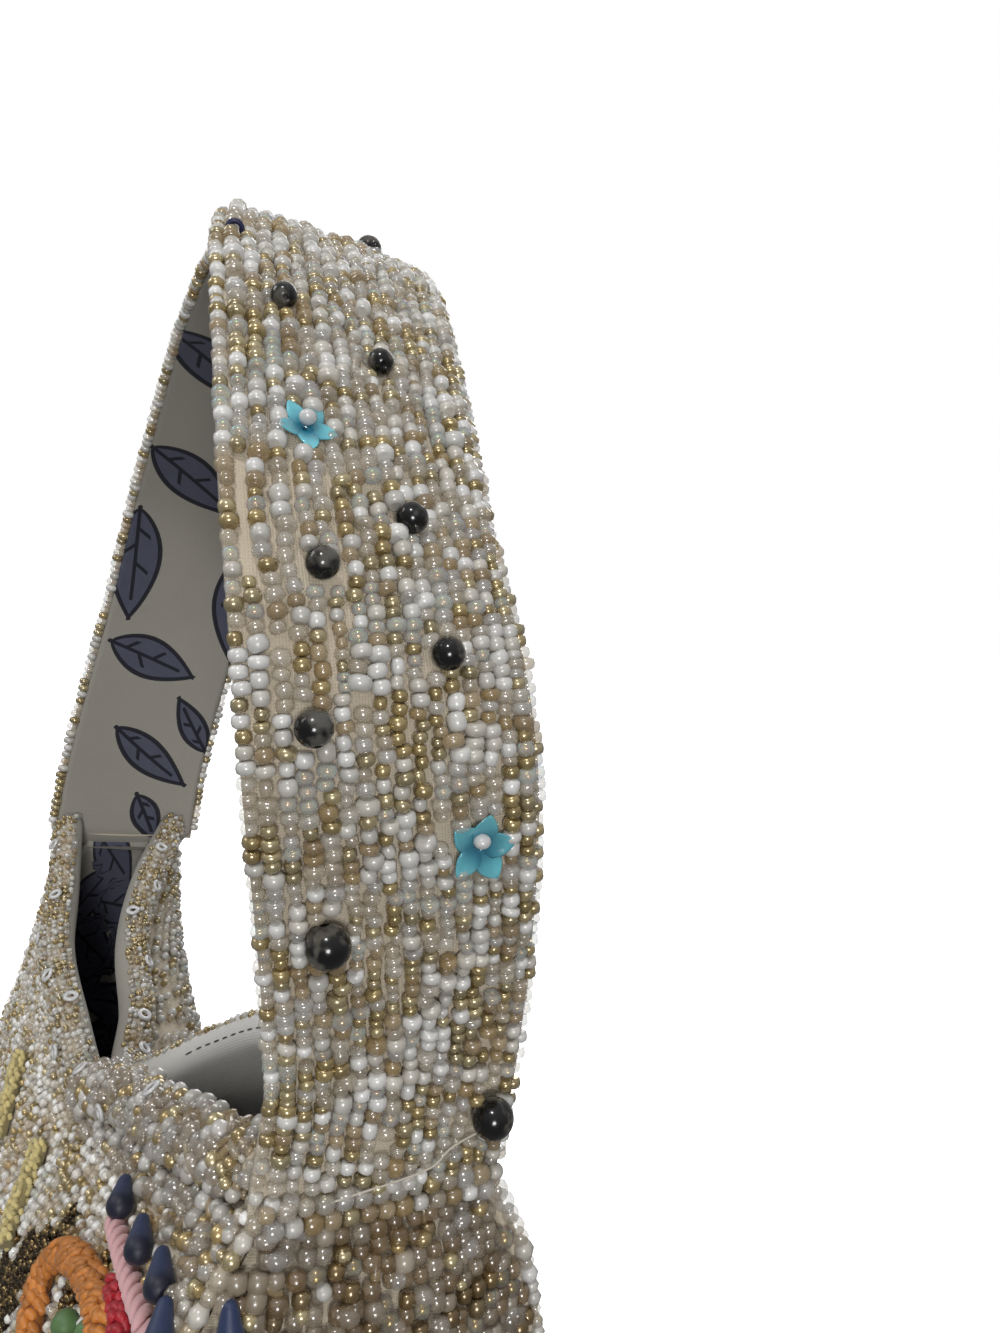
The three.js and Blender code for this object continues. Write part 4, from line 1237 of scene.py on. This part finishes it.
# Joint beads: one row of stones over the seam between each side and the strap
joint = dict(pitch=3.1, reach=20.5, radius=1.5, out=1.6, levels=np.array([155.4, 152.6]),
             kinds=dict(crystal=0.5, amber=0.25, pearl=0.15, gold=0.1))
jointKinds = [kindNames.index(kind) for kind in joint["kinds"]]
across = np.arange(-joint["reach"], joint["reach"] + 0.1, joint["pitch"] / 2)
level = joint["levels"][np.arange(len(across)) % 2]
for name, end in [("near", 1), ("far", -1)]:
    place = np.stack([np.full_like(across, end * (strapRows[0, 1] + joint["out"])), across, level], -1)
    aside = np.tile([0.0, 1.0, 0.0], (len(across), 1))
    outwards = np.tile([end, 0.0, 0.0], (len(across), 1))
    radii = joint["radius"] * draw.uniform(0.85, 1.2, len(across))
    kinds = draw.choice(jointKinds, len(across), p=list(joint["kinds"].values()))
    addKinds(f"{name}_joint", kinds, True, (place, aside, outwards, radii, radii * 1.7), seedProfile, 10,
             order=joint["kinds"])

# Roll ends: stones in a spiral of even spacing over both flat ends of each roll
rollEnds = dict(count=15, radius=1.3, cover=0.95, lift=0.35, shade=0.8)
number = np.arange(rollEnds["count"])
spin = number * math.pi * (3 - math.sqrt(5))
reach = rollEnds["cover"] * np.sqrt((number + 0.5) / rollEnds["count"])
wideAt = (roll["halfThick"] * reach * np.cos(spin))[:, None]
highAt = (roll["halfHigh"] * reach * np.sin(spin))[:, None]
for name, sign in [("front", -1), ("back", 1)]:
    middle, tangent, side, up = rimFrame(np.array([roll["end"], -roll["end"]]), sign)
    outwards = tangent * np.array([[1.0], [-1.0]])
    place = (middle + rollEnds["lift"] * outwards)[:, None] + wideAt * side[:, None] + highAt * up[:, None]
    radii = rollEnds["radius"] * draw.uniform(0.8, 1.15, 2 * len(number))
    tints = rollEnds["shade"] * pickTints("crystal", len(radii))
    axes = np.repeat(up, len(number), axis=0)
    hints = np.repeat(outwards, len(number), axis=0)
    piece = addBeads(f"{name}_roll_end_beads", place.reshape(-1, 3), axes, hints, radii, radii * 1.7, tints,
                     seedProfile, 9)
    dress(piece, "crystal", "beaded_cloth")
print("stones set")

# Tiny beads on the outer half of the rim rolls
rimCrust = dict(pitch=1.8, radius=0.82, length=1.35, rise=0.7, turns=9, shift=0.5, sway=0.09,
                weights=dict(pearl=0.2, crystal=0.5, gold=0.6, amber=0.0))
for name, sign, low, high in [("front_rim", -1, -0.3, 0.6), ("back_rim", 1, 0.4, 1.3)]:
    stations = int(2 * roll["end"] / rimCrust["pitch"])
    spots = np.linspace(roll["end"] - 1, 1 - roll["end"], stations)
    x, share = np.meshgrid(spots, np.linspace(0, 1, rimCrust["turns"]), indexing="ij")
    x = (x + draw.uniform(-rimCrust["shift"], rimCrust["shift"], x.shape)).ravel()
    turn = np.pi * (low + (high - low) * share)
    turn = (turn + draw.uniform(-rimCrust["sway"], rimCrust["sway"], share.shape)).ravel()
    skin, out, axis = rollSkin(x, turn, sign, draw.uniform(0, np.pi, len(x)))
    kinds = pickKinds(x, turn * 4, 12.0, weights=rimCrust["weights"])
    size = draw.uniform(0.8, 1.2, len(x))
    radii = rimCrust["radius"] * size
    place = skin + out * (radii * rimCrust["rise"])[:, None]
    addKinds(name, kinds, True, (place, axis, out, radii, rimCrust["length"] * size), tinyProfile, 6)

# Ring sequins: x along the roll and turn round it in half turns, for each roll
sequins = dict(
    front=[(-57, 0.0), (-14.5, 0.0), (55, 0.3), (-88, 0.2), (-70, 0.35), (-38, 0.2), (-26, 0.45), (6, 0.3),
           (30, -0.1)],
    back=[(-58.5, 0.46), (-19, 0.62), (-84, 0.6), (-72, 0.8), (-40, 0.75), (-8, 0.7), (20, 0.8), (48, 0.9),
          (74, 0.75)],
)
sequin = dict(shape=dict(radius=1.35, tube=0.62, flat=0.7), tint=0.62, rise=1.7, overStones=3.6)
for name, sign in [("front", -1), ("back", 1)]:
    rows = np.array(sequins[name])
    skin, out, axis = rollSkin(rows[:, 0], np.pi * rows[:, 1], sign, np.zeros(len(rows)))
    rise = np.where((sign < 0) & (rows[:, 0] > 0), sequin["overStones"], sequin["rise"])[:, None]
    tints = np.full((len(rows), 3), sequin["tint"])
    piece = addHoops(f"{name}_rim_sequins", skin + out * rise, out, axis, sequin["shape"], 14, 6, tints)
    dress(piece, "pearl", "beaded_cloth")
print("rim beaded")

# Navy drops: a profile turned round an axis that leans down and towards the near end
# A drop's tint is its lit colour, and dark is the same navy in painted shade
drop = dict(length=9.0, width=4.8, rise=0.4, tint=np.array([0.018, 0.032, 0.09]),
            dark=np.array([0.004, 0.006, 0.022]))
dropKnots = np.array([0, 0.06, 0.3, 0.55, 0.75, 0.92, 1.0])
dropWidths = np.array([0.1, 0.22, 0.33, 0.44, 0.5, 0.35, 0.05])
dropSteps = np.linspace(0, 1, 21)
dropProfile = np.stack([dropSteps - 0.5, 2 * glide(dropKnots, dropWidths, dropSteps)], 1)
# Painted shade: each drop runs from its lit tint to the dark one towards its lower, wider end, as if lit from
# above
paintedShadeShare = smooth(0.5, 0.8, dropSteps)[:, None]
shadedDropTints = drop["tint"] * (1 - paintedShadeShare) + drop["dark"] * paintedShadeShare
for name, surface, start in [("front", frontWall, 1), ("side", nearWall, 1 + len(dropRows["front"]))]:
    across, share, lean = dropRows[name].T
    count = len(across)
    normal = normalOf(surface, across, share)
    lean = np.radians(lean)
    axis = np.stack([np.cos(lean), 0 * lean, -np.sin(lean)], 1)
    axis = unit(axis - (axis * normal).sum(-1, keepdims=True) * normal)
    place = surface(across, share) + normal * (drop["width"] / 2 + seamGap + drop["rise"])
    piece = addBeads(f"navy_drops_{name}", place, axis, normal, np.full(count, drop["width"] / 2),
                     np.full(count, drop["length"]), np.tile(shadedDropTints, (count, 1, 1)), dropProfile, 18)
    dress(piece, "matte", "navy_drops", *[f"navy_drop_{start + i}" for i in range(count)])

# Ropes of knots: a core along the path, and short knots set round the half of it that stands off the wall
orange = dict(step=0.3, radius=2.7, knot=0.95, length=2.5, slant=0.9, tint=(0.56, 0.2, 0.034), look="silk")
yellow = dict(step=0.22, radius=2.4, knot=0.62, length=1.7, slant=0.6, tint=(0.6, 0.5, 0.22), look="yarn")
red = dict(step=0.5, radius=1.9, knot=0.95, length=2.4, slant=0.5, tint=(0.42, 0.012, 0.024), look="silk")
ropes = [("orange_arch", "orangeArch", orange), ("red_spray", "redSpray", red),
         ("yellow_bar_1", "yellowBarOne", yellow), ("yellow_bar_2", "yellowBarTwo", yellow),
         ("yellow_bar_3", "yellowBarThree", yellow)]
ropeWind = dict(seat=0.9, core=0.7, coreShade=0.45, reach=3.8, jitter=0.3, slant=0.45)
for name, key, rope in ropes:
    place, tangent, normal, side, at = wallPath(embroidery[key]["path"], rope["step"])
    middle = place + normal * (rope["radius"] * ropeWind["seat"])
    coreRadius = rope["radius"] - rope["knot"] * ropeWind["core"]
    coreTint = np.array([rope["tint"]]) * ropeWind["coreShade"]
    core = addTubes(f"{name}_core", middle[None], normal[None], coreRadius, 8, coreTint)
    dress(core, rope["look"], "beaded_cloth")
    turn = (ropeWind["reach"] * (np.arange(len(at)) * golden % 1) - ropeWind["reach"] / 2)[:, None]
    turn = turn + draw.normal(0, ropeWind["jitter"], turn.shape)
    out = np.sin(turn) * side + np.cos(turn) * normal
    centre = middle + out * (rope["radius"] - rope["knot"] * draw.uniform(0.5, 1.0, turn.shape))
    axis = unit(tangent + np.cross(out, tangent) * draw.normal(rope["slant"], ropeWind["slant"], turn.shape))
    tints = np.array(rope["tint"]) * draw.uniform(0.7, 1.15, turn.shape)
    radii = np.full(len(at), rope["knot"])
    lengths = np.full(len(at), rope["length"])
    piece = addBeads(name, centre, axis, out, radii, lengths, tints, seedProfile, 8)
    dress(piece, rope["look"], "beaded_cloth")

# Pink rope: two strands wound round each other
pink = dict(step=0.5, wind=1.1, rise=1.8, radius=0.95, sides=9, tint=np.array([[0.62, 0.36, 0.37]]))
place, tangent, normal, side, at = wallPath(embroidery["pinkRope"]["path"], pink["step"])
for strand in (0, 1):
    turn = (at * pink["wind"] + strand * np.pi)[:, None]
    path = place + normal * pink["rise"] + pink["radius"] * (np.cos(turn) * side + np.sin(turn) * normal)
    piece = addTubes(f"pink_rope_{strand + 1}", path[None], normal[None], pink["radius"], pink["sides"],
                     pink["tint"])
    dress(piece, "yarn", "beaded_cloth")

# Green balls inside the arch: across, share and radius
green = dict(rise=0.3, tint=np.array([0.1, 0.2, 0.07]), sides=16,
             rows=np.array([(0.683, 0.815, 2.4), (0.755, 0.828, 1.8), (0.66, 0.775, 1.9),
                            (0.73, 0.78, 2.2), (0.69, 0.735, 2.2), (0.76, 0.73, 1.8)]))
across, share, radii = green["rows"].T
place, normal, axis = seatOn(frontWall, across, share, np.zeros(len(radii)))
tints = green["tint"] * draw.uniform(0.8, 1.2, (len(radii), 1))
piece = addBeads("green_balls", place + normal * (radii + green["rise"])[:, None], axis, normal, radii,
                 2 * radii, tints, roundProfile, green["sides"])
dress(piece, "matte", "beaded_cloth")
print("embroidery sewn")

# Camera: where the photograph was taken from, in millimetres and degrees
camera = dict(place=(232.5, -80.4, 250.6), yaw=32.81, pitch=3.8, roll=-10.01, lens=27.0, sensor=36.0)
yaw, pitch, rollTurn = (math.radians(camera[k]) for k in ("yaw", "pitch", "roll"))
forward = np.array([-math.cos(yaw) * math.cos(pitch), math.sin(yaw) * math.cos(pitch), -math.sin(pitch)])
right = unit(np.cross(forward, [0, 0, 1.0]))
down = np.cross(forward, right)
imageRight = math.cos(rollTurn) * right + math.sin(rollTurn) * down
imageDown = -math.sin(rollTurn) * right + math.cos(rollTurn) * down


# Matrix from the three directions of an object and its place in metres
def turnedTo(right, up, back, place):
    turned = np.eye(4)
    turned[:3] = np.stack([right, up, back, place], -1)
    return Matrix(turned.tolist())


cameraData = bpy.data.cameras.new("camera")
cameraData.lens = camera["lens"]
cameraData.sensor_width = camera["sensor"]
cameraData.clip_start = 0.01
cameraPiece = bpy.data.objects.new("camera", cameraData)
cameraPiece.matrix_world = turnedTo(imageRight, -imageDown, -forward, np.array(camera["place"]) * mm)
bpy.context.scene.collection.objects.link(cameraPiece)
bpy.context.scene.camera = cameraPiece

# Pale floor
studio = dict(floor=8.0, glow=0.95, below=0.17, above=0.47, shown=1.0)
floorMesh = bpy.data.meshes.new("floor")
edge = studio["floor"]
floorCorners = [(-edge, -edge, 0), (edge, -edge, 0), (edge, edge, 0), (-edge, edge, 0)]
floorMesh.from_pydata(floorCorners, [], [(0, 1, 2, 3)])
floor = bpy.data.objects.new("floor", floorMesh)
floor.visible_diffuse = False
floor.visible_glossy = False
bpy.context.scene.collection.objects.link(floor)
floorPaint = Paint(bpy.data.materials.new("pale floor"), Roughness=0.7)
floorPaint.set(Base_Color=floorPaint.mix(floorPaint.noise(6.0), rgb(0.92, 0.92, 0.915), rgb(0.9, 0.9, 0.895)))
floorPaint.set(Emission_Color=rgb(1.0, 1.0, 1.0), Emission_Strength=studio["glow"])
floorMesh.materials.append(floorPaint.owner)

# World: brighter above than below, and white where the camera sees it
sky = Paint(bpy.data.worlds.new("studio"), "Background", Color=rgb(1.0, 1.0, 1.0))
towards = sky.node("ShaderNodeTexCoord", {}, {}, "Generated")
upwards = sky.node("ShaderNodeSeparateXYZ", {}, {"Vector": towards}, 2)
seen = sky.node("ShaderNodeLightPath", {}, {}, "Is Camera Ray")
level = studio["below"] + sky.step(upwards, -0.3, 1.0) * (studio["above"] - studio["below"])
sky.set(Strength=level + seen * (studio["shown"] - level))
bpy.context.scene.world = sky.owner
bpy.context.scene.view_settings.view_transform = "Standard"

# Lights: places and targets in metres, power in watts, and the side of each square
lights = dict(
    key=dict(place=(0.95, -0.36, 0.25), target=(0.08, -0.01, 0.2), power=3.9, size=0.24),
    spark=dict(place=(0.42, -0.42, 0.95), target=(0.06, -0.01, 0.24), power=2.1, size=0.1),
    front=dict(place=(-0.35, -0.72, 0.72), target=(0.02, 0.0, 0.16), power=1.9, size=0.4),
    fill=dict(place=(-0.75, 0.6, 0.7), target=(0.0, 0.0, 0.15), power=4.2, size=0.6),
)
for name, row in lights.items():
    data = bpy.data.lights.new(name, "AREA")
    data.energy = row["power"]
    data.size = row["size"]
    piece = bpy.data.objects.new(name, data)
    back = unit(np.array(row["place"]) - np.array(row["target"]))
    aside = unit(np.cross([0, 0, 1.0], back))
    piece.matrix_world = turnedTo(aside, np.cross(back, aside), back, row["place"])
    bpy.context.scene.collection.objects.link(piece)
print("camera, floor and lights placed")
